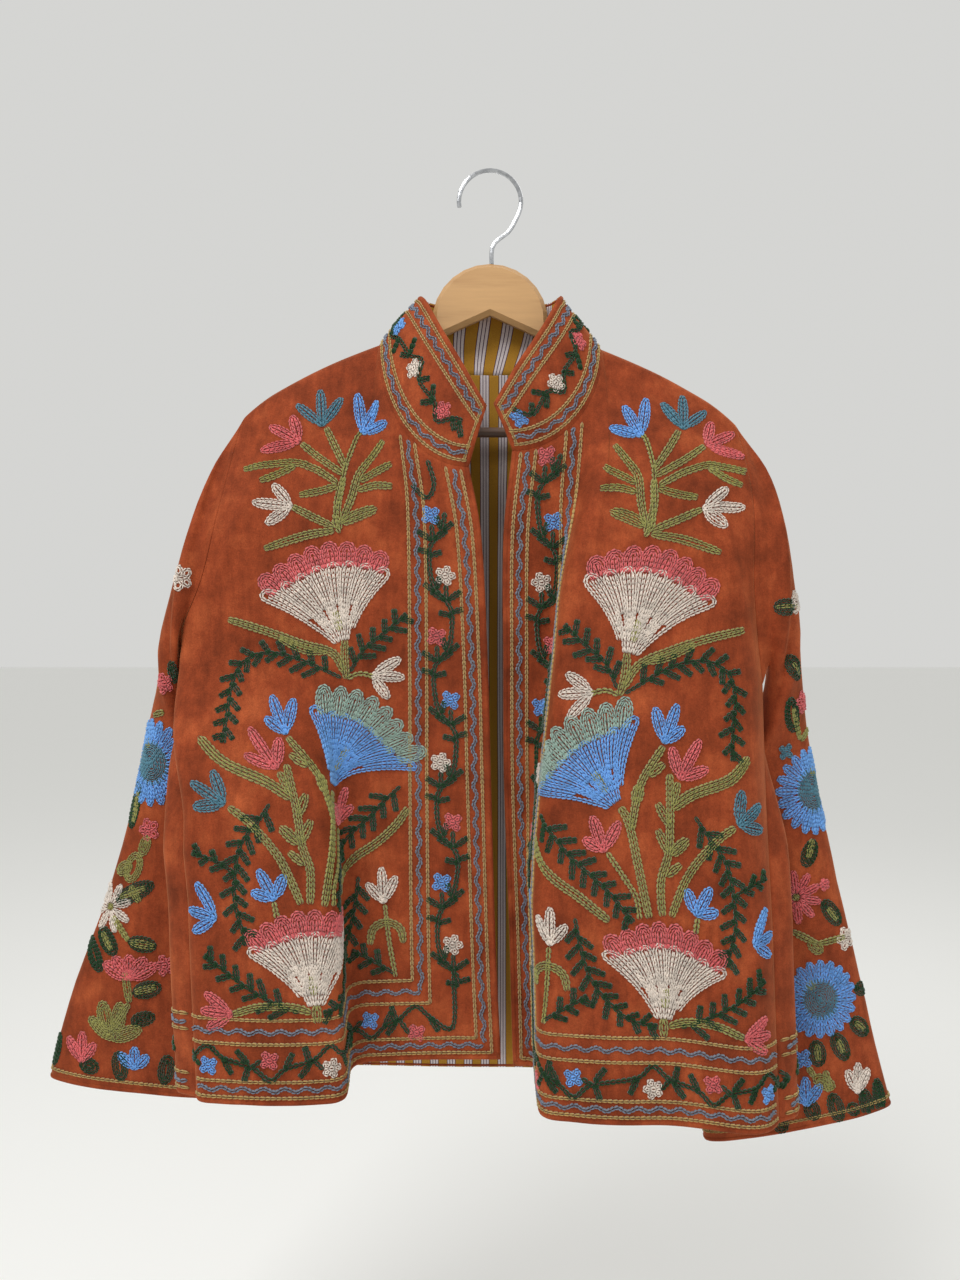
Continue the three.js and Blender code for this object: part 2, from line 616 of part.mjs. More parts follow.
// The jacket's outer faces, with one normal shared by all the pieces that meet at a seam.
function jacketFaces() {
  const left = frontGrid(FRONTS.left);
  const right = frontGrid(FRONTS.right);
  const back = backGrid(left, right);
  const lastColumn = back[0].length - 1;
  const faces = {
    left: { grid: left, outward: 1 },
    right: { grid: right, outward: -1 },
    back: { grid: back, outward: 1 },
    sleeveLeft: { grid: sleeveGrid(-1, SLEEVES.left, armholeRing(left, back, 0)), outward: -1, round: true },
    sleeveRight: {
      grid: sleeveGrid(1, SLEEVES.right, armholeRing(right, back, lastColumn)),
      outward: 1,
      round: true,
    },
    collar: { grid: collarGrid(neckline(left, right, back), COLLAR_ROWS), outward: -1 },
  };
  for (const face of Object.values(faces)) face.normals = normalsOf(face.grid, face.outward, face.round);
  shareShoulders(faces);
  shareNeckline(faces);
  shareSides(faces.left.normals, faces.back.normals, 0, faces.sleeveLeft.normals);
  shareSides(faces.right.normals, faces.back.normals, lastColumn, faces.sleeveRight.normals);
  return faces;
}

// Along the shoulder line the cloth lies flat over the hanger, square to the line.
function shareShoulders({ left, right, back }) {
  const square = (point, normal) => {
    normal.set(ridgeB(point.x + 1) - ridgeB(point.x - 1), 0, 2).normalize();
  };
  const run = (face, from, to) => {
    for (let c = from; c <= to; c++) square(face.grid[0][c], face.normals[0][c]);
  };
  run(left, neckColumn(FRONTS.left), left.grid[0].length - 1);
  run(right, neckColumn(FRONTS.right), right.grid[0].length - 1);
  run(back, 0, BACK_MIDDLE - BACK_NECK_COLUMN);
  run(back, BACK_MIDDLE + BACK_NECK_COLUMN, back.grid[0].length - 1);
}

function shareNeckline({ left, right, back, collar }) {
  const foot = collar.normals[0];
  const leftNeck = neckColumn(FRONTS.left);
  const rightNeck = neckColumn(FRONTS.right);
  const backFrom = BACK_MIDDLE - BACK_NECK_COLUMN;
  const backRun = 2 * BACK_NECK_COLUMN;
  for (let c = 0; c < leftNeck; c++) unite(left.normals[0][c], foot[c]);
  for (let c = 1; c < backRun; c++) unite(back.normals[0][backFrom + c], foot[leftNeck + c]);
  for (let c = 0; c < rightNeck; c++) unite(right.normals[0][c], foot[foot.length - 1 - c]);
  unite(left.normals[0][leftNeck], foot[leftNeck], back.normals[0][backFrom]);
  unite(right.normals[0][rightNeck], foot[leftNeck + backRun], back.normals[0][backFrom + backRun]);
}

function shareSides(front, back, backColumn, sleeve) {
  const ring = sleeve[0];
  columnOf(front, -1).forEach((normal, r) => {
    const behind = back[r][backColumn];
    if (r === 0 || r === UNDERARM_ROW) unite(normal, behind, ring[r]);
    else if (r > UNDERARM_ROW) unite(normal, behind);
    else {
      unite(normal, ring[r]);
      unite(behind, ring[2 * UNDERARM_ROW - r]);
    }
  });
}

// Half the gap of every seam is taken off each of the two edges that meet there, and a little more
// where the cloth turns sharply at the seam.
function openSeams({ left, right, back, sleeveLeft, sleeveRight, collar }) {
  for (const { grid } of [left, right, back, collar]) trim(grid[0], grid[1]);
  for (const { grid } of [sleeveLeft, sleeveRight]) trim(grid[0], grid[1], SHARP_SEAM / 2);
  for (const { grid } of [left, right, back]) trim(columnOf(grid, -1), columnOf(grid, -2), SHARP_SEAM / 2);
  trim(columnOf(back.grid, 0), columnOf(back.grid, 1), SHARP_SEAM / 2);
}

const part = new THREE.Group();
const add = (name, geometry, look) => {
  const mesh = new THREE.Mesh(geometry, new THREE.MeshStandardMaterial(look));
  mesh.name = name;
  part.add(mesh);
};

const faces = jacketFaces();
openSeams(faces);
add("front_left", wallGeometry(faces.left, 0, WALL), VELVET_LOOK);
add("front_right", wallGeometry(faces.right, 0, WALL), VELVET_LOOK);
add("back", wallGeometry(faces.back, 0, VELVET), VELVET_LOOK);
add("lining_back", wallGeometry(faces.back, VELVET + GAP, VELVET + GAP + LINING), STRIPED_LOOK);
add("sleeve_left", wallGeometry(faces.sleeveLeft, 0, WALL), VELVET_LOOK);
add("sleeve_right", wallGeometry(faces.sleeveRight, 0, WALL), VELVET_LOOK);
add("collar", wallGeometry(faces.collar, 0, VELVET), VELVET_LOOK);
add("lining_collar", wallGeometry(faces.collar, VELVET + GAP, VELVET + GAP + LINING), STRIPED_LOOK);
add("hanger_wood", hangerGeometry(), WOOD_LOOK);
add("hanger_bar", barGeometry(), DARK_WOOD_LOOK);
add("hanger_hook", hookGeometry(), CHROME_LOOK);

export default part;
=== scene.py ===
"""An embroidered velvet jacket with a stand collar and wide sleeves, open on a wooden hanger.

Every cloth piece is worked out from the same named sizes as its solid, on a finer grid. A front
is cut flat, with "a" measured sideways from its front edge and "b" down from the origin; the wool
stitches are laid out on the flat cloth and carried onto the hanging one.
"""
import math
import random

import bpy
import numpy as np
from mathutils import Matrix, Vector, noise
from mathutils.bvhtree import BVHTree


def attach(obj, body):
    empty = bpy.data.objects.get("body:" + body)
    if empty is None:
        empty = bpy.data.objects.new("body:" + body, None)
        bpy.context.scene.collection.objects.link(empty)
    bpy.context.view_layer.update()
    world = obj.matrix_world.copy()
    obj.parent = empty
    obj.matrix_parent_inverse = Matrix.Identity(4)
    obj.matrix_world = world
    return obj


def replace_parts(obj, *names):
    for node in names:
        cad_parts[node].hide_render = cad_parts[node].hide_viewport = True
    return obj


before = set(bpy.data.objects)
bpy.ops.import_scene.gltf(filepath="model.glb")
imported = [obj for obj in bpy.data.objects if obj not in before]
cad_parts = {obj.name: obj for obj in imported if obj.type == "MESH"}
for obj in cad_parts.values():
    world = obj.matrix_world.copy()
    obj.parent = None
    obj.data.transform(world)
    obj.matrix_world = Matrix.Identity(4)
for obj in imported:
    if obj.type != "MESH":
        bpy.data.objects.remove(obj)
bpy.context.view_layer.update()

MM = 0.001
DEG = math.pi / 180

# ---- Camera ---------------------------------------------------------------------------------
LENS_MM, SENSOR_MM = 27.0, 36.0
CAMERA_AT = (-0.009, -0.865, -0.421)


def make_camera():
    data = bpy.data.cameras.new("camera")
    data.lens, data.sensor_width, data.sensor_fit = LENS_MM, SENSOR_MM, "AUTO"
    data.clip_start = 0.05
    camera = bpy.data.objects.new("camera", data)
    camera.location = CAMERA_AT
    camera.rotation_euler = (math.pi / 2, 0, 0)
    bpy.context.scene.collection.objects.link(camera)
    bpy.context.scene.camera = camera


make_camera()

# ---- The sizes of the jacket, in mm ---------------------------------------------------------
WALL, VELVET, LINING, GAP, SHARP_SEAM = 2.6, 1.6, 1.0, 0.3, 0.7
NECK_HALF, TIP_HALF, SHOULDER_RISE = 99, 218, 4.5
TIP_FALL, TIP_FALLS_FROM = 4.5, 0.78  # the shoulder line rounds off towards its tip
CHEST_WIDTH, HEM_WIDTH = 288, 296
EDGE_OFFSET, NECK_SHARE = 19, 0.38
ARCH_DEPTH, ARCH_DROP, BACK_Y = 10.5, 9, 17
COLLAR_BULGE = 3.5
FINE = 4  # steps of this grid to one of the solid's


def rows_of(names, *rows):
    """A table as a list of dicts; names are the columns' names."""
    return [dict(zip(names.split(), row)) for row in rows]


BENDS = "at first over turn start whole moved"
LEFT = dict(
    sign=-1, neckB=156, tipB=215, underarmB=440, hemB=803, neckDrop=118, hollow=16.5, hollowLow=2,
    edgeLift=14, liftAt=138, sideLift=5,
    edge=rows_of("b x y", (274, -19, -50), (330, -9, -42), (444, -3, -32), (560, 0, -27),
                 (700, 4, -24), (812, 9, -22)),
    bends=rows_of(BENDS, (60, 60, 90, 5, 230, 320, 420), (129, 136, 20, 88, 425, 580, 640),
                  (168, 156, 26, -80, 425, 580, 640), (235, 215, 80, -18, 230, 420, 600),
                  (290, 255, 30, -100, 340, 450, 600)),
    columns=((0.17, 3), (0.32, 3), (0.36, 1), (NECK_SHARE, 2), (0.62, 9), (0.86, 4), (1, 4)),
)
RIGHT = dict(
    sign=1, neckB=160, tipB=222, underarmB=452, hemB=812, neckDrop=100, hollow=10, hollowLow=1,
    edgeLift=12, liftAt=50, sideLift=-14,
    edge=rows_of("b x y", (260, 19, -48), (330, 12, -36), (444, 12, -22), (560, 13, -14),
                 (700, 18, -9), (812, 21, -9)),
    bends=rows_of(BENDS, (17, 68, 16, 90, 190, 395, 640), (86, 82, 30, -80, 190, 395, 640),
                  (150, 130, 90, -16, 220, 360, 500), (276, 212, 60, -60, 220, 420, 640)),
    columns=((0.02, 1), (0.1, 4), (0.32, 8), (0.36, 1), (NECK_SHARE, 2), (0.72, 4), (1, 7)),
)
UPPER_ROWS = [0, 0.014, 0.042, 0.14, 0.29, 0.45, 0.61, 0.77, 0.91, 1]
LOWER_STRETCHES = ((0.3, 3), (1, 5))
UNDERARM = (len(UPPER_ROWS) - 1) * FINE
LIFT_FROM, LIFT_OVER = 300, 300  # down a front, where its hem lifts begin, and how soon they are whole
EDGE_LIFT_OVER, SIDE_LIFT_FROM, SIDE_LIFT_OVER = 50, 170, 110

BACK_COLUMNS = rows_of(
    "share x y drop", (0, 0, 17, 21), (0.11, 30, 17, 20), (0.21, 56, 16.5, 17), (0.3, 77, 15, 11),
    (0.36, 90, 10.5, 4.5), (0.4, 97, 4.5, 0.8), (0.43, 99, 0, 0), (0.53, 126, 0, 0),
    (0.64, 152, 0, 0), (0.75, 176, 0, 0), (0.85, 194, 0, 0), (0.91, 204, 0, 0), (0.96, 211, 0, 0),
    (1, 218, 0, 0))
BACK_NECK, BACK_SIDE = 6, len(BACK_COLUMNS) - 1  # columns at the neck point and at the side
NECK_MIDDLE_B = 158
BACK_TOP_B, BACK_UNDERARM_B, BACK_HEM_B = 165, 446, 808
BACK_SLOPES_OVER, ARMHOLE_BOW = 150, 4
BACK_PLAN = rows_of("share wide y", (0, 0, 17), (0.43, 0.47, 15), (0.64, 0.69, 4),
                    (0.75, 0.84, -10), (0.85, 1, -24))
BACK_PIT = rows_of("share out behind", (0.85, -40, 30), (0.91, -20, 24), (0.96, -6, 13), (1, 0, 0))
BACK_ROLL = rows_of("share out behind", (0.85, 0, 38), (0.91, 19, 26), (0.96, 19, 10), (1, 0, 0))
ROLL_GROWS_OVER = 0.4

SLEEVE_NAMES = "at outX outB inX inB y half bow"
SLEEVE_LEFT = rows_of(
    SLEEVE_NAMES, (0.09, 240, 262, 268, 439, -13, 33, 4), (0.22, 265, 348, 267, 468, -5, 32, 13),
    (0.35, 286, 420, 256, 507, 4, 29, 15), (0.5, 307, 496, 223, 576, 9, 27, 8),
    (0.63, 326, 575, 208, 632, 13, 25, 3), (0.76, 351, 660, 204, 696, 13, 23, 0),
    (0.89, 384, 751, 214, 770, 13, 20, 0), (1, 401, 818, 234, 836, 13, 18, 0))
SLEEVE_RIGHT = rows_of(
    SLEEVE_NAMES, (0.09, 240, 266, 243, 444, -20, 26, 7), (0.22, 260, 350, 242, 475, -8, 27, 11),
    (0.35, 274, 425, 226, 523, 2, 28, 9), (0.5, 288, 505, 198, 584, 13, 26, 7),
    (0.63, 304, 585, 183, 644, 13, 25, 3), (0.76, 325, 675, 178, 714, 13, 23, 0),
    (0.89, 347, 770, 185, 800, 13, 20, 0), (1, 366, 843, 196, 876, 13, 18, 0))
SLEEVE_ROWS = [0, 0.035, 0.08, 0.14, 0.22, 0.32, 0.43, 0.54, 0.65, 0.77, 0.89, 1]
LOOP_FADES_AT, SECTION_POWER = 0.2, 0.75

COLLAR_ROWS = 3
COLLAR_TOP = rows_of(
    "share x y b", (0, -4, -58, 224), (0.1, -22, -51, 190), (0.2, -42, -38, 153),
    (0.29, -57, -22, 123), (0.36, -63, -3, 113), (0.42, -52, 12, 115), (0.5, 0, 19, 119),
    (0.58, 52, 12, 115), (0.64, 64, -3, 113), (0.71, 60, -22, 122), (0.8, 45, -38, 151),
    (0.9, 22, -51, 188), (1, 3, -58, 222))


# ---- Small helpers --------------------------------------------------------------------------
def clamp01(t):
    return min(1, max(0, t))


def mix(a, b, t):
    return a + (b - a) * t


def smooth(t):
    t = clamp01(t)
    return t * t * (3 - 2 * t)


def vec(x, y, z):
    return np.array((x, y, z), float)


def unit(v):
    return v / max(1e-12, np.linalg.norm(v))


def along(table, key, column, at):
    """A table's column at a place along its key column, on a smooth curve through the rows."""
    last = len(table) - 1
    if at <= table[0][key]:
        return table[0][column]
    if at >= table[last][key]:
        return table[last][column]
    i = next(k for k in range(last) if at <= table[k + 1][key])

    def slope(k):
        lo, hi = table[max(0, k - 1)], table[min(last, k + 1)]
        return (hi[column] - lo[column]) / (hi[key] - lo[key])

    span = table[i + 1][key] - table[i][key]
    t = (at - table[i][key]) / span
    t2, t3 = t * t, t * t * t
    return ((2 * t3 - 3 * t2 + 1) * table[i][column] + (t3 - 2 * t2 + t) * span * slope(i)
            + (3 * t2 - 2 * t3) * table[i + 1][column] + (t3 - t2) * span * slope(i + 1))


def finer(values):
    """The same run of values with FINE steps to each of its own, on a smooth curve."""
    table = [dict(k=k, v=v) for k, v in enumerate(values)]
    count = (len(values) - 1) * FINE
    return [along(table, "k", "v", k / FINE) for k in range(count + 1)]


def shares(stretches):
    """Places from 0 on, in stretches of (where it ends, the solid's steps in it)."""
    found = [0]
    for to, steps in stretches:
        start, count = found[-1], steps * FINE
        found += [mix(start, to, k / count) for k in range(1, count + 1)]
    return found


BODY_ROWS = finer(UPPER_ROWS) + [1 + t for t in shares(LOWER_STRETCHES)[1:]]


# ---- The fronts -----------------------------------------------------------------------------
def ridge_b(x):
    """How far down the shoulder line lies at x."""
    front = LEFT if x < 0 else RIGHT
    t = (abs(x) - NECK_HALF) / (TIP_HALF - NECK_HALF)
    fall = TIP_FALL * clamp01((t - TIP_FALLS_FROM) / (1 - TIP_FALLS_FROM)) ** 2
    return mix(front["neckB"], front["tipB"], t) - SHOULDER_RISE * math.sin(math.pi * clamp01(t)) + fall


def arch_at(drop):
    """How far the cloth has come forward, or back, at a drop below the shoulder line."""
    return ARCH_DEPTH * math.sqrt(1 - (1 - clamp01(drop / ARCH_DROP)) ** 2)


def front_top(front, share):
    """Flat place of a front's top edge: a quarter round of the neck, then the shoulder line."""
    if share > NECK_SHARE:
        x = mix(NECK_HALF, TIP_HALF, (share - NECK_SHARE) / (1 - NECK_SHARE))
        return x - EDGE_OFFSET, ridge_b(front["sign"] * x)
    turn = share / NECK_SHARE * math.pi / 2
    return (NECK_HALF - EDGE_OFFSET) * math.sin(turn), front["neckB"] + front["neckDrop"] * math.cos(turn)


def front_flat(front, share, row):
    """Flat place, (a, b), of a share of a front's width on a row."""
    if row >= 1:
        return share * mix(CHEST_WIDTH, HEM_WIDTH, row - 1), mix(front["underarmB"], front["hemB"], row - 1)
    a, b = front_top(front, share)
    spread = mix(1 - (1 - row) ** 2, row, smooth((share - NECK_SHARE) / (1 - NECK_SHARE)))
    hollow = front["hollow"] * share ** 4 * math.sin(math.pi * max(row, 0) ** front["hollowLow"])
    return mix(a, share * CHEST_WIDTH, spread) - hollow, mix(b, front["underarmB"], row)


def heading(front, a, b):
    """Which way the cloth runs at a flat place, seen from above: the sum of the bends before it."""
    turned = 0
    for bend in front["bends"]:
        at = mix(bend["first"], bend["at"], clamp01((b - bend["start"]) / (bend["moved"] - bend["start"])))
        turn = bend["turn"] * smooth((b - bend["start"]) / (bend["whole"] - bend["start"]))
        turned += turn * smooth((a - at) / bend["over"] + 0.5)
    return turned * DEG


def hanging_y(front, share, row, b):
    edge_y = along(front["edge"], "b", "y", b)
    if row >= 1:
        return edge_y
    top_b = front_top(front, share)[1]
    neck_drop = top_b - front["neckB"] if share < NECK_SHARE else 0
    forward = (-front["edge"][0]["y"] - ARCH_DEPTH) * (max(0, neck_drop) / front["neckDrop"]) ** 0.8
    bent = arch_at(neck_drop + row * (front["underarmB"] - top_b))
    return -forward - bent + (edge_y + forward + ARCH_DEPTH) * row * (1.6 - 0.6 * row)


def front_row(front, share_list, row):
    """Hanging and flat places of a row, walked along the cloth from the front edge."""
    steps = 3  # of the walk, to a column
    before = front_flat(front, 0, row)
    x, forward, points, flats = front["sign"] * along(front["edge"], "b", "x", before[1]), 0, [], []
    for k, share in enumerate(share_list):
        for s in range(1, steps + 1 if k else 1):
            here = front_flat(front, mix(share_list[k - 1], share, s / steps), row)
            turned = heading(front, (before[0] + here[0]) / 2, (before[1] + here[1]) / 2)
            x += (here[0] - before[0]) * math.cos(turned)
            forward += (here[0] - before[0]) * math.sin(turned)
            before = here
        a, b = front_flat(front, share, row)
        grown = clamp01((b - LIFT_FROM) / LIFT_OVER)
        edge_lift = front["edgeLift"] * (1 - smooth((a - front["liftAt"]) / EDGE_LIFT_OVER + 0.5))
        side_lift = front["sideLift"] * smooth((a - SIDE_LIFT_FROM) / SIDE_LIFT_OVER)
        points.append(vec(front["sign"] * x, hanging_y(front, share, row, b) - forward,
                          grown * (edge_lift + side_lift) - b))
        flats.append((a, b))
    return points, flats


def front_grid(front):
    rows = [front_row(front, shares(front["columns"]), row) for row in BODY_ROWS]
    return np.array([r[0] for r in rows]), np.array([r[1] for r in rows])


# ---- The back -------------------------------------------------------------------------------
BACK_SHARES = [mix(BACK_COLUMNS[k // FINE]["share"], BACK_COLUMNS[min(k // FINE + 1, BACK_SIDE)]["share"],
                   (k % FINE) / FINE) for k in range(BACK_SIDE * FINE + 1)]


def back_top(share):
    x, y, drop = (along(BACK_COLUMNS, "share", name, share) for name in ("x", "y", "drop"))
    if share >= BACK_COLUMNS[BACK_NECK]["share"]:
        y = drop = 0
    return x, y, drop


def back_point(sign, share, row, seam, pit_x, mean_z):
    """A place on the back: sign says which half, seam is the row's end at the armhole or side."""
    if share == 1:
        return vec(sign * seam[0], seam[1], seam[2])
    top_x, top_y, top_drop = back_top(share)
    grown, side = smooth((row - 1) / ROLL_GROWS_OVER), BACK_ROLL[0]["share"]

    def beside(name, at):
        return mix(along(BACK_PIT, "share", name, at), along(BACK_ROLL, "share", name, at), grown)

    side_y = seam[1] + beside("behind", max(side, share)) * min(1, row) ** 4
    slope = mix(side_y, BACK_Y, 1 - smooth((share - 0.5) / (side - 0.5)))
    if row < 1:
        neck_share = BACK_COLUMNS[BACK_NECK]["share"]
        neck_b = mix(NECK_MIDDLE_B, ridge_b(sign * NECK_HALF), smooth(share / neck_share))
        top_b = (neck_b if share < neck_share else ridge_b(sign * top_x)) + top_drop
        drop = row * (-mean_z["underarm"] - top_b)
        low_x = pit_x + beside("out", share) if share >= side else share * pit_x
        x = mix(top_x, low_x, row) + (seam[0] - mix(TIP_HALF, pit_x, row)) * smooth(share / 0.3)
        y = mix(top_y + arch_at(drop) * (1 - top_y / BACK_Y), slope, smooth(drop / BACK_SLOPES_OVER))
        return vec(sign * x, y, mix(-top_b, mix(mean_z["underarm"], mean_z["side"], share * share), row))
    z = mix(mean_z["here"], seam[2], share * share)
    if share >= side:
        return vec(sign * (seam[0] + beside("out", share)), side_y, z)
    wide, y = (along(BACK_PLAN, "share", name, share) for name in ("wide", "y"))
    return vec(sign * seam[0] * mix(share, wide, grown), mix(slope, y, grown), z)


def armhole_back(edge, j):
    """The back edge of the armhole, behind the front's."""
    row = BODY_ROWS[j]
    drop = edge[0][2] - edge[j][2]
    open_ = math.sqrt(max(0, 1 - row ** 2.5))
    y = mix(edge[UNDERARM][1], arch_at(drop) + ARMHOLE_BOW * math.sin(math.pi * row), open_)
    return vec(abs(edge[j][0]), y, edge[j][2])


def back_flat(sign, share, row):
    if row < 1:
        wide = mix(back_top(share)[0], share * CHEST_WIDTH, row)
        return sign * wide, mix(BACK_TOP_B, BACK_UNDERARM_B, row)
    wide = share * mix(CHEST_WIDTH, HEM_WIDTH, row - 1)
    return sign * wide, mix(BACK_UNDERARM_B, BACK_HEM_B, row - 1)


def back_grid(left, right):
    edges = {-1: left[:, -1], 1: right[:, -1]}
    points, flats = [], []
    for j, row in enumerate(BODY_ROWS):
        halves, flat_halves = {}, {}
        for sign, edge in edges.items():
            seam = armhole_back(edge, j) if row < 1 else vec(abs(edge[j][0]), edge[j][1], edge[j][2])
            pit_x = abs(edge[UNDERARM][0])
            mean = {"here": (edges[-1][j][2] + edges[1][j][2]) / 2,
                    "underarm": (edges[-1][UNDERARM][2] + edges[1][UNDERARM][2]) / 2,
                    "side": edge[UNDERARM][2]}
            halves[sign] = [back_point(sign, share, row, seam, pit_x, mean) for share in BACK_SHARES]
            flat_halves[sign] = [back_flat(sign, share, row) for share in BACK_SHARES]
        points.append(halves[-1][::-1] + halves[1][1:])
        flats.append(flat_halves[-1][::-1] + flat_halves[1][1:])
    return np.array(points), np.array(flats)


# ---- The sleeves ----------------------------------------------------------------------------
def armhole_ring(front, back, column):
    """The armhole from the shoulder tip down the front's edge and up the back's."""
    return list(front[:UNDERARM + 1, -1]) + list(back[1:UNDERARM, column][::-1])


def sleeve_grid(sign, table, ring):
    """Rings from the armhole to the cuff; the armhole's own shape fades out over the first of them."""
    tip, pit = ring[0], ring[UNDERARM]
    line = pit - tip
    start = dict(at=0, outX=abs(tip[0]), outB=-tip[2], inX=abs(pit[0]), inB=-pit[2], y=0, half=0, bow=0)
    stations = [start, *table]
    loop = []
    for k, point in enumerate(ring):
        down = clamp01((point - tip) @ line / (line @ line))
        on_front = k <= UNDERARM
        share = (k if on_front else len(ring) - k) / UNDERARM
        loop.append((down, point - tip - line * down, share, -1 if on_front else 1))
    grid = []
    for at in finer(SLEEVE_ROWS):
        value = {name: along(stations, "at", name, at) for name in SLEEVE_NAMES.split()}
        kept = 1 - smooth(at / LOOP_FADES_AT)
        outer = vec(sign * value["outX"], 0, -value["outB"])
        inner = vec(sign * value["inX"], 0, -value["inB"])
        across = unit(inner - outer)
        row = []
        for down, rest, share, side in loop:
            angle = math.pi * share
            point = mix(outer, inner, mix((1 - math.cos(angle)) / 2, down, kept))
            middle = mix(tip[1], pit[1], down) * kept + value["y"] * (1 - kept)
            belly = side * value["half"] * abs(math.sin(angle)) ** SECTION_POWER
            bow = sign * value["bow"] * math.sin(angle)
            row.append(vec(point[0] + rest[0] * kept - across[2] * bow,
                           middle + belly * (1 - kept) + rest[1] * kept,
                           point[2] + rest[2] * kept + across[0] * bow))
        grid.append(row)
    return np.array(grid)


# ---- The collar -----------------------------------------------------------------------------
def neck_column(front):
    return next(k for k, s in enumerate(shares(front["columns"])) if s >= NECK_SHARE - 1e-9)


def collar_grid(left, right, back):
    middle, reach = BACK_SIDE * FINE, BACK_NECK * FINE
    base = [*left[0, :neck_column(LEFT) + 1], *back[0, middle - reach + 1:middle + reach],
            *right[0, :neck_column(RIGHT) + 1][::-1]]
    lengths = np.concatenate([[0], np.cumsum([np.linalg.norm(q - p) for p, q in zip(base, base[1:])])])
    grid, flats = [], []
    for up in [k / (COLLAR_ROWS * FINE) for k in range(COLLAR_ROWS * FINE + 1)]:
        row, flat = [], []
        for foot, s in zip(base, lengths):
            share = s / lengths[-1]
            top = vec(along(COLLAR_TOP, "share", "x", share), along(COLLAR_TOP, "share", "y", share),
                      -along(COLLAR_TOP, "share", "b", share))
            point = mix(foot, top, up)
            away = unit(vec(point[0], point[1] * 1.6, 0))
            row.append(point + away * COLLAR_BULGE * math.sin(math.pi * up))
            flat.append((s, up * np.linalg.norm(top - foot)))
        grid.append(row)
        flats.append(flat)
    return np.array(grid), np.array(flats)


# ---- Normals and seams ----------------------------------------------------------------------
def normals_of(grid, outward, tube=False):
    if tube:
        across = np.roll(grid, -1, 1) - np.roll(grid, 1, 1)
    else:
        across = np.empty_like(grid)
        across[:, 1:-1] = grid[:, 2:] - grid[:, :-2]
        across[:, 0], across[:, -1] = grid[:, 1] - grid[:, 0], grid[:, -1] - grid[:, -2]
    down = np.empty_like(grid)
    down[1:-1] = grid[2:] - grid[:-2]
    down[0], down[-1] = grid[1] - grid[0], grid[-1] - grid[-2]
    normals = np.cross(across, down) * outward
    return normals / np.maximum(1e-9, np.linalg.norm(normals, axis=2, keepdims=True))


def unite(*places):
    """Gives one shared normal to points of different pieces; a place is (normals, row, column)."""
    total = unit(sum(normals[r, c] for normals, r, c in places))
    for normals, r, c in places:
        normals[r, c] = total


def unite_sides(front, back, column, sleeve):
    """Shared normals down an armhole and the side seam under it."""
    for r in range(len(front)):
        if r in (0, UNDERARM):
            unite((front, r, -1), (back, r, column), (sleeve, 0, r))
        elif r > UNDERARM:
            unite((front, r, -1), (back, r, column))
        else:
            unite((front, r, -1), (sleeve, 0, r))
            unite((back, r, column), (sleeve, 0, 2 * UNDERARM - r))


def trim(grid, edge, inside, amount):
    """Moves one edge of a grid into it by an amount; edge and inside index the grid."""
    before, target = grid[edge].copy(), grid[inside].copy()
    ahead = np.empty_like(before)
    ahead[1:-1] = before[2:] - before[:-2]
    ahead[0], ahead[-1] = before[1] - before[0], before[-1] - before[-2]
    ahead /= np.maximum(1e-9, np.linalg.norm(ahead, axis=1, keepdims=True))
    inward = target - before
    inward -= ahead * np.sum(inward * ahead, axis=1, keepdims=True)
    inward /= np.maximum(1e-9, np.linalg.norm(inward, axis=1, keepdims=True))
    grid[edge] = before + inward * amount


# ---- Cloth pieces ---------------------------------------------------------------------------
def jacket_faces():
    """Outer faces of all the cloth pieces, in mm: grid, flat places and shared normals."""
    left, left_flat = front_grid(LEFT)
    right, right_flat = front_grid(RIGHT)
    back, back_flat = back_grid(left, right)
    collar, collar_flat = collar_grid(left, right, back)
    sleeve_left = sleeve_grid(-1, SLEEVE_LEFT, armhole_ring(left, back, 0))
    sleeve_right = sleeve_grid(1, SLEEVE_RIGHT, armhole_ring(right, back, -1))
    made = dict(
        front_left=dict(grid=left, flat=left_flat, outward=1, tube=False),
        front_right=dict(grid=right, flat=right_flat, outward=-1, tube=False),
        back=dict(grid=back, flat=back_flat, outward=1, tube=False),
        sleeve_left=dict(grid=sleeve_left, outward=-1, tube=True),
        sleeve_right=dict(grid=sleeve_right, outward=1, tube=True),
        collar=dict(grid=collar, flat=collar_flat, outward=-1, tube=False),
    )
    for name, face in made.items():
        crease(face, name)
        face["normals"] = normals_of(face["grid"], face["outward"], face["tube"])
    share_seams(made)
    for name in ("front_left", "front_right", "back", "collar"):
        trim(made[name]["grid"], np.s_[0, :], np.s_[1, :], GAP / 2)
    for name in ("sleeve_left", "sleeve_right"):
        trim(made[name]["grid"], np.s_[0, :], np.s_[1, :], SHARP_SEAM / 2)
    for name in ("front_left", "front_right", "back"):
        trim(made[name]["grid"], np.s_[:, -1], np.s_[:, -2], SHARP_SEAM / 2)
    trim(made["back"]["grid"], np.s_[:, 0], np.s_[:, 1], SHARP_SEAM / 2)
    return made


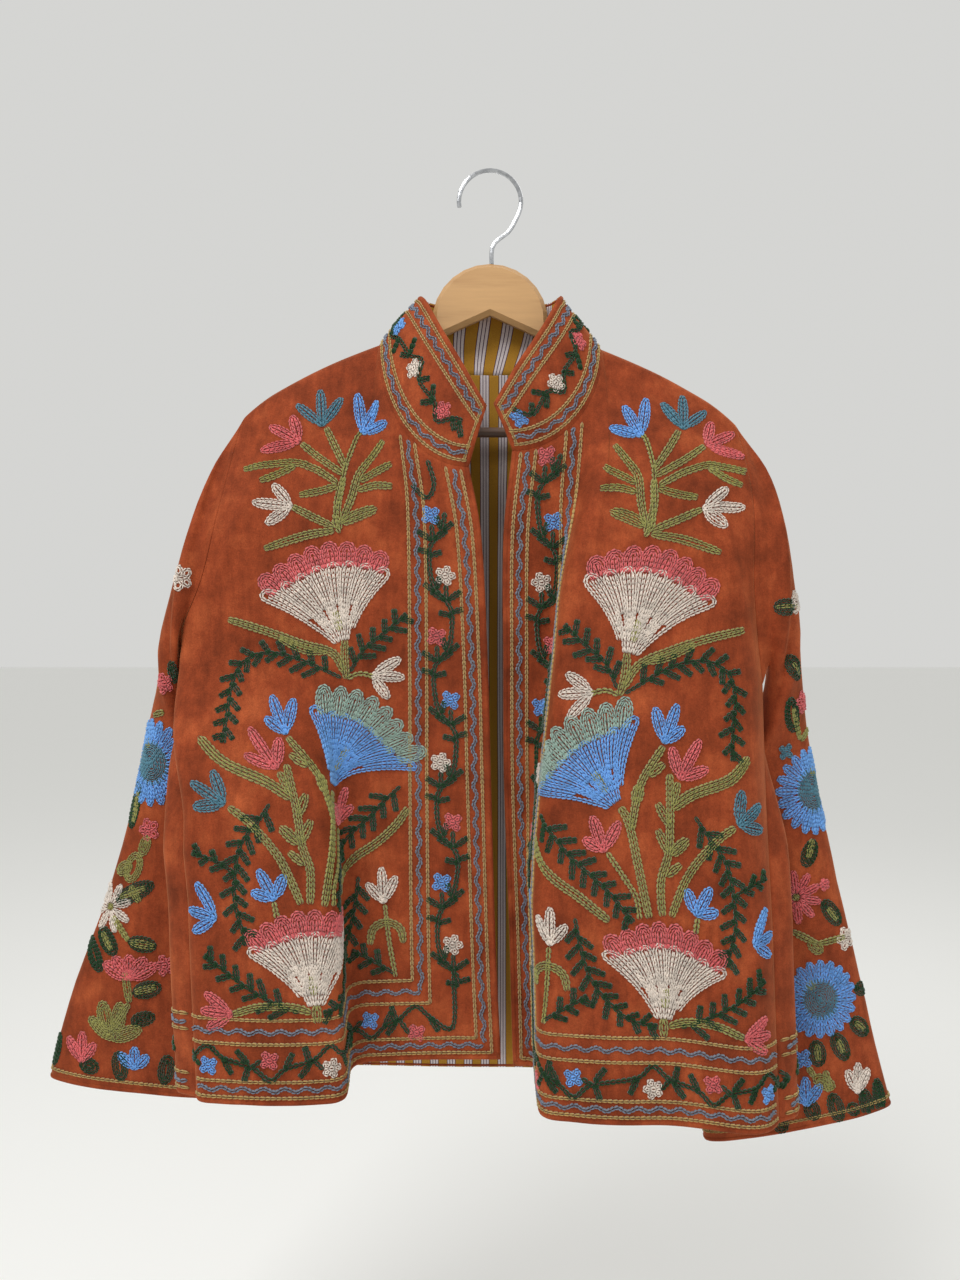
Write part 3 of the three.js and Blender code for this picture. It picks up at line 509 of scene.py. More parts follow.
# Creases of each piece: the two ends as (share across, share down), how wide, and how deep in mm, below
# zero for a hollow. They fade at their ends and at the piece's seams.
CREASES = {
    "front_left": ((0.72, 0.10, 0.98, 0.46, 0.035, 2.0), (0.55, 0.16, 0.82, 0.40, 0.04, -1.6),
                   (0.30, 0.30, 0.36, 0.72, 0.03, 1.2), (0.80, 0.55, 0.97, 0.50, 0.02, 1.4),
                   (0.62, 0.50, 0.70, 0.95, 0.03, 1.4), (0.08, 0.30, 0.13, 0.80, 0.03, -0.9)),
    "front_right": ((0.70, 0.10, 0.97, 0.48, 0.035, 2.0), (0.52, 0.18, 0.80, 0.42, 0.04, -1.6),
                    (0.60, 0.50, 0.66, 0.95, 0.03, 1.5), (0.82, 0.55, 0.97, 0.50, 0.02, 1.4),
                    (0.40, 0.45, 0.46, 0.90, 0.025, -1.2), (0.88, 0.66, 0.84, 0.95, 0.02, 1.3)),
    "back": ((0.30, 0.15, 0.42, 0.60, 0.03, 2.2), (0.70, 0.15, 0.58, 0.60, 0.03, 2.2),
             (0.12, 0.45, 0.34, 0.34, 0.03, 1.8), (0.88, 0.45, 0.66, 0.34, 0.03, 1.8),
             (0.36, 0.60, 0.34, 0.98, 0.03, 2.4), (0.62, 0.60, 0.65, 0.98, 0.03, 2.4),
             (0.5, 0.3, 0.49, 0.9, 0.03, -1.5)),
    "sleeve_left": ((0.06, 0.16, 0.42, 0.34, 0.04, 2.4), (0.10, 0.30, 0.46, 0.42, 0.035, -2.0),
                    (0.04, 0.42, 0.40, 0.50, 0.035, 2.2), (0.14, 0.55, 0.20, 0.98, 0.05, 1.6),
                    (0.34, 0.55, 0.30, 0.98, 0.05, 1.5), (0.60, 0.20, 0.96, 0.36, 0.04, 2.0),
                    (0.70, 0.50, 0.74, 0.98, 0.05, 1.6)),
    "sleeve_right": ((0.06, 0.14, 0.42, 0.32, 0.04, 2.4), (0.10, 0.28, 0.46, 0.40, 0.035, -2.0),
                     (0.04, 0.40, 0.40, 0.50, 0.035, 2.2), (0.16, 0.55, 0.14, 0.98, 0.05, 1.6),
                     (0.32, 0.55, 0.36, 0.98, 0.05, 1.5), (0.60, 0.20, 0.96, 0.36, 0.04, 2.0),
                     (0.70, 0.50, 0.74, 0.98, 0.05, 1.6)),
    "collar": (),
}
UNEVEN = ((55, 0.9), (21, 0.45))  # the cloth's own soft waves: how long and how deep, in mm
COLLAR_STIFFNESS = 0.5


def crease(face, name):
    """Moves a piece's grid in and out along its creases, and a little all over, but not its seams."""
    grid = face["grid"]
    rows, columns = grid.shape[:2]
    normals = normals_of(grid, face["outward"], face["tube"])
    across, down = np.meshgrid(np.linspace(0, 1, columns), np.linspace(0, 1, rows))
    depth = np.zeros((rows, columns))
    for x0, y0, x1, y1, wide, deep in CREASES[name]:
        run = np.array((x1 - x0, y1 - y0))
        t = ((across - x0) * run[0] + (down - y0) * run[1]) / (run @ run)
        off = ((across - x0) * run[1] - (down - y0) * run[0]) / np.linalg.norm(run)
        middle = np.clip(1 - (2 * t - 1) ** 2, 0, 1)
        depth += deep * middle * np.exp(-(off / wide) ** 2)
    for r in range(rows):
        for c in range(columns):
            place = Vector(grid[r, c])
            depth[r, c] += sum(deep * noise.noise(place / long) for long, deep in UNEVEN)
    inside = np.clip(down * 9, 0, 1)
    if not face["tube"]:
        inside = inside * np.clip((1 - across) * 12, 0, 1)
        if name == "back":
            inside = inside * np.clip(across * 12, 0, 1)
    if name == "collar":
        inside = inside * COLLAR_STIFFNESS
    face["grid"] = grid + normals * (depth * inside)[:, :, None]


def share_seams(made):
    """Gives pieces one normal along every seam that they share, so that no seam shows a step."""
    left, right, back, collar = (made[name]["normals"]
                                 for name in ("front_left", "front_right", "back", "collar"))
    middle, reach = BACK_SIDE * FINE, BACK_NECK * FINE
    left_neck, right_neck = neck_column(LEFT), neck_column(RIGHT)
    runs = ((made["front_left"], range(left_neck, left.shape[1])),
            (made["front_right"], range(right_neck, right.shape[1])),
            (made["back"], [*range(middle - reach + 1), *range(middle + reach, back.shape[1])]))
    for face, columns in runs:
        for c in columns:
            x = face["grid"][0, c][0]
            face["normals"][0, c] = unit(vec(ridge_b(x + 1) - ridge_b(x - 1), 0, 2))
    for c in range(left_neck):
        unite((left, 0, c), (collar, 0, c))
    for c in range(1, 2 * reach):
        unite((back, 0, middle - reach + c), (collar, 0, left_neck + c))
    for c in range(right_neck):
        unite((right, 0, c), (collar, 0, collar.shape[1] - 1 - c))
    unite((left, 0, left_neck), (collar, 0, left_neck), (back, 0, middle - reach))
    unite((right, 0, right_neck), (collar, 0, left_neck + 2 * reach), (back, 0, middle + reach))
    unite_sides(left, back, 0, made["sleeve_left"]["normals"])
    unite_sides(right, back, -1, made["sleeve_right"]["normals"])


def flats_of_tube(face):
    """A sleeve's flat places: across is measured round from the seam under the shoulder tip."""
    grid = face["grid"]
    around = np.linalg.norm(np.roll(grid, -1, 1) - grid, axis=2)
    across = np.concatenate([np.zeros((len(grid), 1)), np.cumsum(around, 1)], 1)
    step = np.linalg.norm(np.diff(grid, axis=0), axis=2).mean(1)
    down = np.concatenate([[0], np.cumsum(step)])
    return np.stack([across, np.repeat(down[:, None], across.shape[1], 1)], 2)


def border_loops(rows, columns, tube):
    """The runs of border points of a grid, as (row, column), each back to where it began."""
    if tube:
        return [[(0, c) for c in range(columns + 1)], [(rows - 1, c) for c in range(columns, -1, -1)]]
    return [[(0, c) for c in range(columns)] + [(r, columns - 1) for r in range(1, rows)]
            + [(rows - 1, c) for c in range(columns - 2, -1, -1)] + [(r, 0) for r in range(rows - 2, -1, -1)]]


def surface_mesh(name, face, depths, rim):
    """A closed cloth wall in metres. depths: how deep its outer and inner faces lie under the face's
    grid; rim: how far its edges bulge. Material 0 is outside and on the rims, 1 is inside. The UV map
    holds the flat place."""
    grid, normals, tube = face["grid"], face["normals"], face["tube"]
    rows, columns = grid.shape[:2]
    flat = flats_of_tube(face) if tube else face["flat"]
    layers = [grid - normals * depth for depth in depths]
    centre = (layers[0] + layers[1]) / 2
    points = [layer.reshape(-1, 3) for layer in layers]
    faces, uvs, inside = [], [], []

    def at(r, c, layer):
        return layer * rows * columns + r * columns + c % columns

    def beside(at_, last):
        return 1 if at_ == 0 else last - 1 if at_ == last else at_

    for r in range(rows - 1):
        for c in range(columns if tube else columns - 1):
            corners = ((r, c), (r + 1, c), (r + 1, c + 1), (r, c + 1))
            faces.append([at(*p, 0) for p in corners])
            faces.append([at(*p, 1) for p in corners[::-1]])
            uvs += [flat[p] for p in corners] + [flat[p] for p in corners[::-1]]
            inside += [0, 1]
    first = rows * columns * 2
    for run in border_loops(rows, columns, tube):
        bulge = []
        for r, c in run[:-1]:
            c = c % columns
            within = grid[beside(r, rows - 1), c if tube else beside(c, columns - 1)]
            bulge.append(centre[r, c] + unit(grid[r, c] - within) * rim)
        points.append(np.array(bulge))
        count = len(bulge)
        for k, (p, q) in enumerate(zip(run, run[1:])):
            low, high = first + k, first + (k + 1) % count
            faces.append([at(*p, 0), at(*q, 0), high, low])
            faces.append([low, high, at(*q, 1), at(*p, 1)])
            uvs += [flat[p], flat[q], flat[q], flat[p]] * 2
            inside += [0, 0]
        first += count
    return mesh_object(name, np.concatenate(points) * MM, faces, np.array(uvs) * MM, inside)


def mesh_object(name, points, faces, uvs=None, materials=None):
    """A smooth mesh object, turned so that its faces look out."""
    mesh = bpy.data.meshes.new(name)
    mesh.from_pydata(np.asarray(points).tolist(), [], [list(map(int, f)) for f in faces])
    if materials is not None:
        mesh.polygons.foreach_set("material_index", materials)
    if uvs is not None:
        layer = mesh.uv_layers.new(name="flat")
        layer.data.foreach_set("uv", np.asarray(uvs, np.float32).ravel())
    mesh.polygons.foreach_set("use_smooth", [True] * len(mesh.polygons))
    face_out(mesh)
    mesh.update()
    piece = bpy.data.objects.new(name, mesh)
    bpy.context.scene.collection.objects.link(piece)
    return piece


def face_out(mesh):
    """Turns a closed mesh so that its faces look out."""
    mesh.calc_loop_triangles()
    points = np.empty(len(mesh.vertices) * 3, np.float64)
    mesh.vertices.foreach_get("co", points)
    corners = np.empty(len(mesh.loop_triangles) * 3, np.int64)
    mesh.loop_triangles.foreach_get("vertices", corners)
    a, b, c = points.reshape(-1, 3)[corners.reshape(-1, 3)].transpose(1, 0, 2)
    if np.sum(a * np.cross(b, c)) < 0:
        mesh.flip_normals()


# A turned edge: its half width, how far it stands over the cloth on either side, how far in it lies
ROLL_WIDE, ROLL_HIGH, ROLL_INSET, ROLL_SIDES = 2.3, 0.55, 1.7, 10


def edge_roll(name, face, runs):
    """The turned edge of a piece: a flat roll along runs of its border, each a list of (row, column,
    row inside, column inside) and whether it closes."""
    grid, normals = face["grid"], face["normals"]
    points, faces = [], []
    for run, closed in runs:
        first = len(points)
        for r, c, r_in, c_in in run:
            inward, normal = unit(grid[r_in, c_in] - grid[r, c]), normals[r, c]
            centre = grid[r, c] + inward * ROLL_INSET - normal * WALL / 2
            for k in range(ROLL_SIDES):
                turn = 2 * math.pi * k / ROLL_SIDES
                points.append(centre + inward * ROLL_WIDE * math.cos(turn)
                              + normal * (WALL / 2 + ROLL_HIGH) * math.sin(turn))
        count = len(run)
        for k in range(count if closed else count - 1):
            ring, next_ring = first + k * ROLL_SIDES, first + (k + 1) % count * ROLL_SIDES
            for j in range(ROLL_SIDES):
                i = (j + 1) % ROLL_SIDES
                faces.append((ring + j, ring + i, next_ring + i, next_ring + j))
        if not closed:
            faces.append(tuple(first + j for j in reversed(range(ROLL_SIDES))))
            faces.append(tuple(first + (count - 1) * ROLL_SIDES + j for j in range(ROLL_SIDES)))
    return mesh_object(name, np.array(points) * MM, faces)


def border(face, *sides):
    """One run along named sides of a piece: down its first column, along its last row, and so on."""
    rows, columns = face["grid"].shape[:2]
    runs = {
        "start": [(r, 0, r, 1) for r in range(rows)],
        "hem": [(rows - 1, c, rows - 2, c) for c in range(columns)],
        "end": [(r, columns - 1, r, columns - 2) for r in range(rows - 1, -1, -1)],
    }
    return [place for side in sides for place in runs[side]]


# ---- Wool stitches on flat cloth ------------------------------------------------------------
WOOL = "gold slate green olive cream coral blue teal sage".split()
STITCH = 4.4  # length of one link of a chain
ROW = 3.6  # from one row of chain to the next
WALK = 2.0  # steps of the middle line that rows are set out along
WAVE, SWING = 17, 1.9  # a wavy line: how long a wave is, and how far it swings
LEAFLET_EVERY, LEAF_PARTS = 6.5, 1.216  # along a fern; how far the two rows of a leaf part
FAN_FOOT, FAN_PETALS = 5.5, 8  # half the width of a fan flower's base
RNG = random.Random(11)


def direction(angle):
    return np.array((math.cos(angle), math.sin(angle)))


def across_of(steps):
    """Unit vectors across a line's steps."""
    normals = np.stack([-steps[:, 1], steps[:, 0]], 1)
    return normals / np.maximum(1e-9, np.linalg.norm(normals, axis=1, keepdims=True))


def spline(points, step):
    """A smooth line through points, cut into equal steps: the middles and the steps themselves."""
    p = np.array(points, float)
    if len(p) > 2:
        q = np.concatenate([[2 * p[0] - p[1]], p, [2 * p[-1] - p[-2]]])
        t = np.linspace(0, 1, 9)[:-1, None]
        parts = [0.5 * (2 * b + (c - a) * t + (2 * a - 5 * b + 4 * c - d) * t ** 2
                        + (3 * b - a - 3 * c + d) * t ** 3)
                 for a, b, c, d in zip(q, q[1:], q[2:], q[3:])]
        p = np.concatenate([*parts, p[-1:]])
    lengths = np.concatenate([[0], np.cumsum(np.linalg.norm(np.diff(p, axis=0), axis=1))])
    count = max(1, round(lengths[-1] / step))
    ends = np.linspace(0, lengths[-1], count + 1)
    at = np.stack([np.interp(ends, lengths, p[:, k]) for k in (0, 1)], 1)
    return (at[1:] + at[:-1]) / 2, at[1:] - at[:-1]


class Needlework:
    """The links of one panel's embroidery: middle, direction with length, width and wool."""

    def __init__(self):
        self.links = []

    def chain(self, points, wool, width=3.8, step=STITCH):
        middles, steps = spline(points, step)
        index = WOOL.index(wool)
        for (x, y), (dx, dy) in zip(middles, steps):
            wide = width * RNG.uniform(0.9, 1.1)
            self.links.append((x, y, dx, dy, wide, index))

    def blade(self, points, wool, width, power=0.6, blunt=0.0):
        """Rows of chain side by side along a line; the ends narrow. blunt keeps that share of it."""
        middles, steps = spline(points, WALK)
        normals = across_of(steps)
        t = (np.arange(len(middles)) + 0.5) / len(middles)
        to_end = np.minimum(t, 1 - t) * len(middles) * WALK
        rounded = np.minimum(1, to_end / (width * 0.55)) ** 0.5
        full = (blunt + (1 - blunt) * np.sin(np.pi * t) ** power) * rounded
        count = max(1, round(width / ROW))
        for k in range(count):
            offset = (k - (count - 1) / 2) / count * width
            line = middles + normals * (offset * full)[:, None]
            trimmed = round((2 * offset / width) ** 2 * width * 0.2)
            if len(line) > 2 * trimmed + 2:
                line = line[trimmed:len(line) - trimmed]
            self.chain(line, wool)

    def loop(self, centre, half_long, half_wide, angle, wool, turns=1):
        """Closed rings of chain, one inside another."""
        for k in range(turns):
            a, b = half_long - k * ROW, half_wide - k * ROW
            if min(a, b) < 0.8:  # no room for another ring
                break
            turn = np.linspace(0, 2 * math.pi, 13)
            c, s = direction(angle)
            x, y = a * np.cos(turn), b * np.sin(turn)
            self.chain(np.stack([centre[0] + x * c - y * s, centre[1] + x * s + y * c], 1), wool, 3.5, 3.6)

    def petal(self, base, tip, wool, width):
        """A rounded petal: one ring of chain, and one row up its middle."""
        base, tip = np.array(base, float), np.array(tip, float)
        up = tip - base
        inset = 1.4  # half a row
        self.loop(base + up * 0.54, np.linalg.norm(up) * 0.46 - inset, width / 2 - inset,
                  math.atan2(up[1], up[0]), wool)
        self.chain([base, base + up * 0.86], wool, 4.6)

    def tulip(self, base, tips, wool, width=10):
        for tip in tips:
            self.petal(base, tip, wool, width)

    def rosette(self, centre, size, wool, petals=4):
        """A small flower of double rings."""
        centre = np.array(centre, float)
        for k in range(petals):
            angle = 0.6 + 2 * math.pi * k / petals
            self.loop(centre + direction(angle) * size * 0.56, size * 0.34, size * 0.27, angle, wool, 2)
        self.chain([centre - (2, 0), centre + (2, 0)], wool, 4.2)

    def daisy(self, centre, size, wool, petals, turn):
        """Separate petals round a small olive heart."""
        for k in range(petals):
            out = direction(turn + 2 * math.pi * k / petals)
            self.petal(np.array(centre) + out * size * 0.16, np.array(centre) + out * size, wool,
                       min(8, 2.4 * size * math.sin(math.pi / petals) + 2))
        self.loop(centre, 2.6, 2.2, 0, "olive", 2)

    def fern(self, spine, reach=15):
        """A spine with leaflets on either side, turned towards its end, and one at its tip."""
        self.blade(spine, "green", 5.0, 0.2, 0.8)
        middles, steps = spline(spine, LEAFLET_EVERY)
        bare = 0.05 * len(middles)
        for k, (at, step) in enumerate(zip(middles, steps)):
            if k < bare:
                continue
            side = 1 if k % 2 else -1
            angle = math.atan2(step[1], step[0]) + side * RNG.uniform(0.75, 1.0)
            long = reach * RNG.uniform(0.85, 1.15) * (1 - 0.25 * k / len(middles))
            self.leaf(at, at + direction(angle) * long)
        self.leaf(middles[-1], middles[-1] + unit(steps[-1]) * 7)

    def leaf(self, base, tip):
        """A plump little leaf: two rows of chain that part and meet again."""
        base, tip = np.array(base, float), np.array(tip, float)
        side = unit(tip - base)[::-1] * (-1, 1) * LEAF_PARTS
        for way in (-1, 1):
            self.chain([base, mix(base, tip, 0.45) + side * way, tip + side * way * 0.45], "green", 3.9, 4.0)

    def fan(self, base, left, right, rim, body, scallops, pinch=0.62, depth=21, heart=18):
        """A trumpet flower: rows of chain fan out from its base to two pointed tips, and scalloped
        petals stand on its rim. left and right are the tips, rim the length of its rows between them,
        pinch how narrow it is halfway up beside a straight-sided one."""
        base, left, right = (np.array(p, float) for p in (base, left, right))
        turn_l, turn_r = (math.atan2(*(p - base)[::-1]) for p in (left, right))
        if turn_r < turn_l - math.pi:
            turn_r += 2 * math.pi
        if turn_r > turn_l + math.pi:
            turn_r -= 2 * math.pi
        long_l, long_r = np.linalg.norm(left - base), np.linalg.norm(right - base)
        middle = (turn_l + turn_r) / 2
        axis = direction(middle)
        side = np.array((-axis[1], axis[0]))
        foot = math.copysign(FAN_FOOT, turn_r - turn_l)

        def place(t, share):
            """t runs from tip to tip, share from the base to the rim."""
            turn = mix(turn_l, turn_r, t) - middle
            far = mix(rim, mix(long_l, long_r, t), abs(2 * t - 1) ** 4) * share
            narrow = mix(pinch, 1, clamp01(share) ** 1.6)
            out = far * math.sin(turn) * narrow + (2 * t - 1) * foot * (1 - clamp01(share))
            return base + axis * far * math.cos(turn) + side * out

        each = abs(turn_r - turn_l) * rim / FAN_PETALS
        for k in range(FAN_PETALS):
            t = mix(0.06, 0.94, (k + 0.5) / FAN_PETALS)
            tall = depth * (0.66 + 0.34 * math.sin(math.pi * t))
            self.plump(place(t, 0.97), place(t, 0.97 + tall / rim), each * 0.94 + 2.2, scallops)
        for k in range(FAN_PETALS):
            self.finger(place, k, body)
        self.blade([base + axis * heart * 0.5, base + axis * heart * 1.5], "olive", 7, 0.5)

    def finger(self, place, k, wool):
        """One petal of a fan's body: a row up one side, round its end and down the other, and two rows
        between them. Every other one starts further up, and the outer ones reach the fan's sides."""
        def at(across, share):
            return place((k + 0.5 + across) / FAN_PETALS, share)

        low, inner_low = (0.2, 0.3) if k % 2 else (0.02, 0.5)
        first = -0.5 if k == 0 else -0.41
        last = 0.5 if k == FAN_PETALS - 1 else 0.41
        up, down = np.linspace(low, 0.91, 7), np.linspace(0.91, low, 7)
        self.chain([at(first, s) for s in up] + [at(first * 0.75, 0.98), at(0, 1.03), at(last * 0.75, 0.98)]
                   + [at(last, s) for s in down], wool)
        for across in (-0.15, 0.15):
            self.chain([at(across, s) for s in np.linspace(inner_low, 0.95, 6)], wool, 4.1)

    def plump(self, foot, tip, width, wool):
        """A wide petal with a round end, filled by arches of chain one inside another."""
        up = tip - foot
        side = unit(up)[::-1] * (-1, 1)
        k = 0
        while width / 2 - k * ROW > 0.9:
            half, tall = width / 2 - k * ROW - 0.6, 1 - k * ROW / np.linalg.norm(up)
            arch = ((-0.75, 0), (-1, 0.55), (-0.6, 0.9), (0, 1), (0.6, 0.9), (1, 0.55), (0.75, 0))
            self.chain([foot + up * tall * y + side * half * x for x, y in arch], wool, 3.7)
            k += 1
        self.chain([foot, foot + up * 0.6], wool, 4.6)

    def border_line(self, k, line):
        """Line k of a border's three: the outer two of gold chain, the middle one slate and wavy."""
        if k != 1:
            self.chain(line, "gold", 3.1)
            return
        middles, steps = spline(line, WALK)
        swing = SWING * np.sin(np.arange(len(middles)) * WALK * 2 * math.pi / WAVE)
        normals = np.stack([-steps[:, 1], steps[:, 0]], 1) / WALK
        self.chain((middles + normals * swing[:, None])[::2], "slate", 3.7, 3.6)

    def triple(self, lines):
        for k, line in enumerate(lines):
            self.border_line(k, line)

    def vine(self, flowers):
        """Small flowers (x, y, wool, side) on a winding stem, each with a spray of leaves below it. The
        stem passes each flower on its side, -1 or 1; along the run, y grows."""
        run = []
        for x, y, wool, side in flowers:
            run += [(x + side * 13, y - 2), (x + side * 9, y + 13), (x, y + 23), (x - side * 4, y + 33)]
            self.rosette((x, y), 9.5, wool, 4 if wool != "cream" else 5)
            self.chain([(x, y + 8.5), (x, y + 23)], "green", 4.6)
            for way in (-1, 1):
                self.leaf((x + way, y + 22), (x + way * 13, y + 14))
                self.leaf((x + side * (9 + way), y + 13 + way), (x + side * (12 + way * 7), y + 4 + way * 3))
            self.leaf((x - side * 4, y + 33), (x - side * 14, y + 30))
            self.leaf((x - side * 4, y + 36), (x + side * 7, y + 33))
        self.chain(run, "green", 4.9)


# ---- From flat cloth to hanging cloth -------------------------------------------------------
class Flat:
    """Looks up places of the hanging cloth from places on the flat cloth."""

    def __init__(self, points, flat, normals):
        self.points, self.normals = points.reshape(-1, 3), normals.reshape(-1, 3)
        self.flat = flat.reshape(-1, 2)
        rows, columns = points.shape[:2]
        self.corners = [t for r in range(rows - 1) for c in range(columns - 1) for t in (
            (r * columns + c, (r + 1) * columns + c, (r + 1) * columns + c + 1),
            (r * columns + c, (r + 1) * columns + c + 1, r * columns + c + 1))]
        self.tree = BVHTree.FromPolygons([Vector((x, y, 0)) for x, y in self.flat], self.corners)
        self.corners = np.array(self.corners)

    def look_up(self, places):
        """Points and normals for flat places; the third result says which were found."""
        count = len(places)
        found, faces = np.zeros(count, bool), np.zeros(count, int)
        down = Vector((0, 0, -1))
        for k, (x, y) in enumerate(places):
            face = self.tree.ray_cast(Vector((x, y, 5)), down)[2]
            if face is not None:
                found[k], faces[k] = True, face
        corners = self.corners[faces]
        a, b, c = (self.flat[corners[:, k]] for k in range(3))
        u, v, w = b - a, c - a, np.asarray(places) - a
        det = u[:, 0] * v[:, 1] - u[:, 1] * v[:, 0]
        det = np.where(abs(det) < 1e-9, 1e-9, det)
        s = (w[:, 0] * v[:, 1] - w[:, 1] * v[:, 0]) / det
        t = (u[:, 0] * w[:, 1] - u[:, 1] * w[:, 0]) / det
        weights = np.stack([1 - s - t, s, t], 1)[:, :, None]
        points = (self.points[corners] * weights).sum(1)
        normals = (self.normals[corners] * weights).sum(1)
        return points, normals / np.maximum(1e-9, np.linalg.norm(normals, axis=1, keepdims=True)), found


def link():
    """One link, x along it as shares of its length, y across and z up as shares of its width: two
    strands, close at its tail and open at its head. Returns points and faces."""
    points, faces = [], []
    for side in (-1, 1):
        first = len(points)
        points.append((-0.7, side * 0.06, 0.14))
        for x, y in ((-0.24, 0.23), (0.3, 0.31)):
            points += [(x, side * y + 0.22, 0), (x, side * y, 0.43), (x, side * y - 0.21, 0)]
        points.append((0.7, side * 0.13, 0.1))
        for k in range(3):
            a, b = first + 1 + k, first + 1 + (k + 1) % 3
            faces += [(first, a, b), (a, a + 3, b + 3, b), (a + 3, first + 7, b + 3)]
    return np.array(points), faces


SHORTEST_LINK, LONGEST_LINK = 0.5, 12  # others are left out: they would straddle a fold


def stitch(name, work, panel):
    """All the links of a panel's needlework as one mesh, a material to each wool."""
    links = np.array(work.links)
    middle, step, width, wool = links[:, :2], links[:, 2:4], links[:, 4], links[:, 5].astype(int)
    points, normals, found = panel.look_up(middle)
    tails, _, found_tails = panel.look_up(middle - step / 2)
    heads, _, found_heads = panel.look_up(middle + step / 2)
    kept = found & found_tails & found_heads
    long = np.linalg.norm(heads - tails, axis=1)
    kept &= (long > SHORTEST_LINK) & (long < LONGEST_LINK)
    points, normals, tails, heads, long, width, wool = (
        v[kept] for v in (points, normals, tails, heads, long, width, wool))
    ahead = (heads - tails) / long[:, None]
    normals = normals - ahead * (normals * ahead).sum(1, keepdims=True)
    normals /= np.linalg.norm(normals, axis=1, keepdims=True)
    across = np.cross(normals, ahead)
    shape, shape_faces = link()
    x, y, z = shape.T[:, None, :, None]
    placed = (points[:, None] + ahead[:, None] * (x * long[:, None, None])
              + across[:, None] * (y * width[:, None, None]) + normals[:, None] * (z * width[:, None, None]))
    faces = [tuple(k * len(shape) + i for i in face) for k in range(len(points)) for face in shape_faces]
    return mesh_object(name, placed.reshape(-1, 3) * MM, faces, None, np.repeat(wool, len(shape_faces)))


# ---- The embroidery, in mm on the flat cloth ------------------------------------------------
def stems(work, on, *table):
    """Olive stems and leaves: how wide, how round their ends, how blunt, and the places along each."""
    for width, power, blunt, *places in table:
        work.blade(on(*places), "olive", width, power, blunt)


def tulips(work, on, *table):
    """Each has its wool, how wide its petals are, its base and its petals' tips."""
    for wool, width, base, *tips in table:
        work.tulip(*on(base), on(*tips), wool, width)


def ferns(work, on, *table):
    """Each has its leaflets' reach and the places along its spine."""
    for reach, *places in table:
        work.fern(on(*places), reach)


def top_spray(work, on):
    work.chain(on((124, 330), (128, 318), (122, 294), (117, 271), (107, 245), (103, 240)), "olive", 4.6)
    stems(work, on,
          (7, 0.5, 0.5, (124, 328), (125, 305), (119, 280)),
          (7, 0.5, 0.6, (117, 273), (126, 252), (133, 234)),
          (7, 0.5, 0.6, (119, 278), (138, 264), (155, 249)),
          (7.4, 0.4, 0.5, (124, 286), (145, 272), (164, 267), (205, 273)),
          (7, 0.4, 0.5, (160, 270), (176, 278), (191, 284)),
          (7.4, 0.4, 0.6, (124, 288), (140, 293), (158, 296)),
          (7, 0.4, 0.5, (123, 322), (113, 299), (106, 278), (93, 262), (81, 248)),
          (7.2, 0.4, 0.6, (106, 284), (90, 276), (74, 269)),
          (7.2, 0.4, 0.6, (108, 292), (92, 288), (75, 289)),
          (11, 0.5, 0.3, (124, 322), (108, 314), (90, 308)),
          (7.6, 0.4, 0.5, (128, 325), (146, 316), (164, 306)),
          (8.5, 0.5, 0.35, (128, 328), (155, 332), (189, 343)))
    tulips(work, on,
           ("teal", 9, (136, 233), (156, 213), (134, 199), (116, 207)),
           ("coral", 10, (156, 248), (190, 257), (181, 233), (160, 223)),
           ("blue", 10, (102, 241), (103, 203), (84, 211), (74, 232)),
           ("cream", 10, (164, 306), (198, 303), (180, 286), (187, 322)))


def upper_fan(work, on):
    stems(work, on,
          (8, 0.3, 0.7, (122, 462), (123, 445), (122, 426)),
          (8, 0.4, 0.6, (124, 455), (133, 436), (160, 424), (190, 413), (221, 404)),
          (9, 0.5, 0.4, (136, 434), (155, 430), (178, 419)))
    work.fan(*on((124, 428), (197, 384), (79, 366)), 70, "cream", "coral", depth=22, heart=20)
    ferns(work, on,
          (15, (126, 460), (156, 440), (186, 432), (208, 440), (219, 460), (224, 483), (231, 505)),
          (16, (119, 456), (105, 434), (91, 423), (71, 406)))
    work.chain(on((121, 461), (110, 457), (99, 460)), "olive", 4.6)
    tulips(work, on, ("cream", 10, (100, 459), (74, 443), (71, 461), (86, 481)))


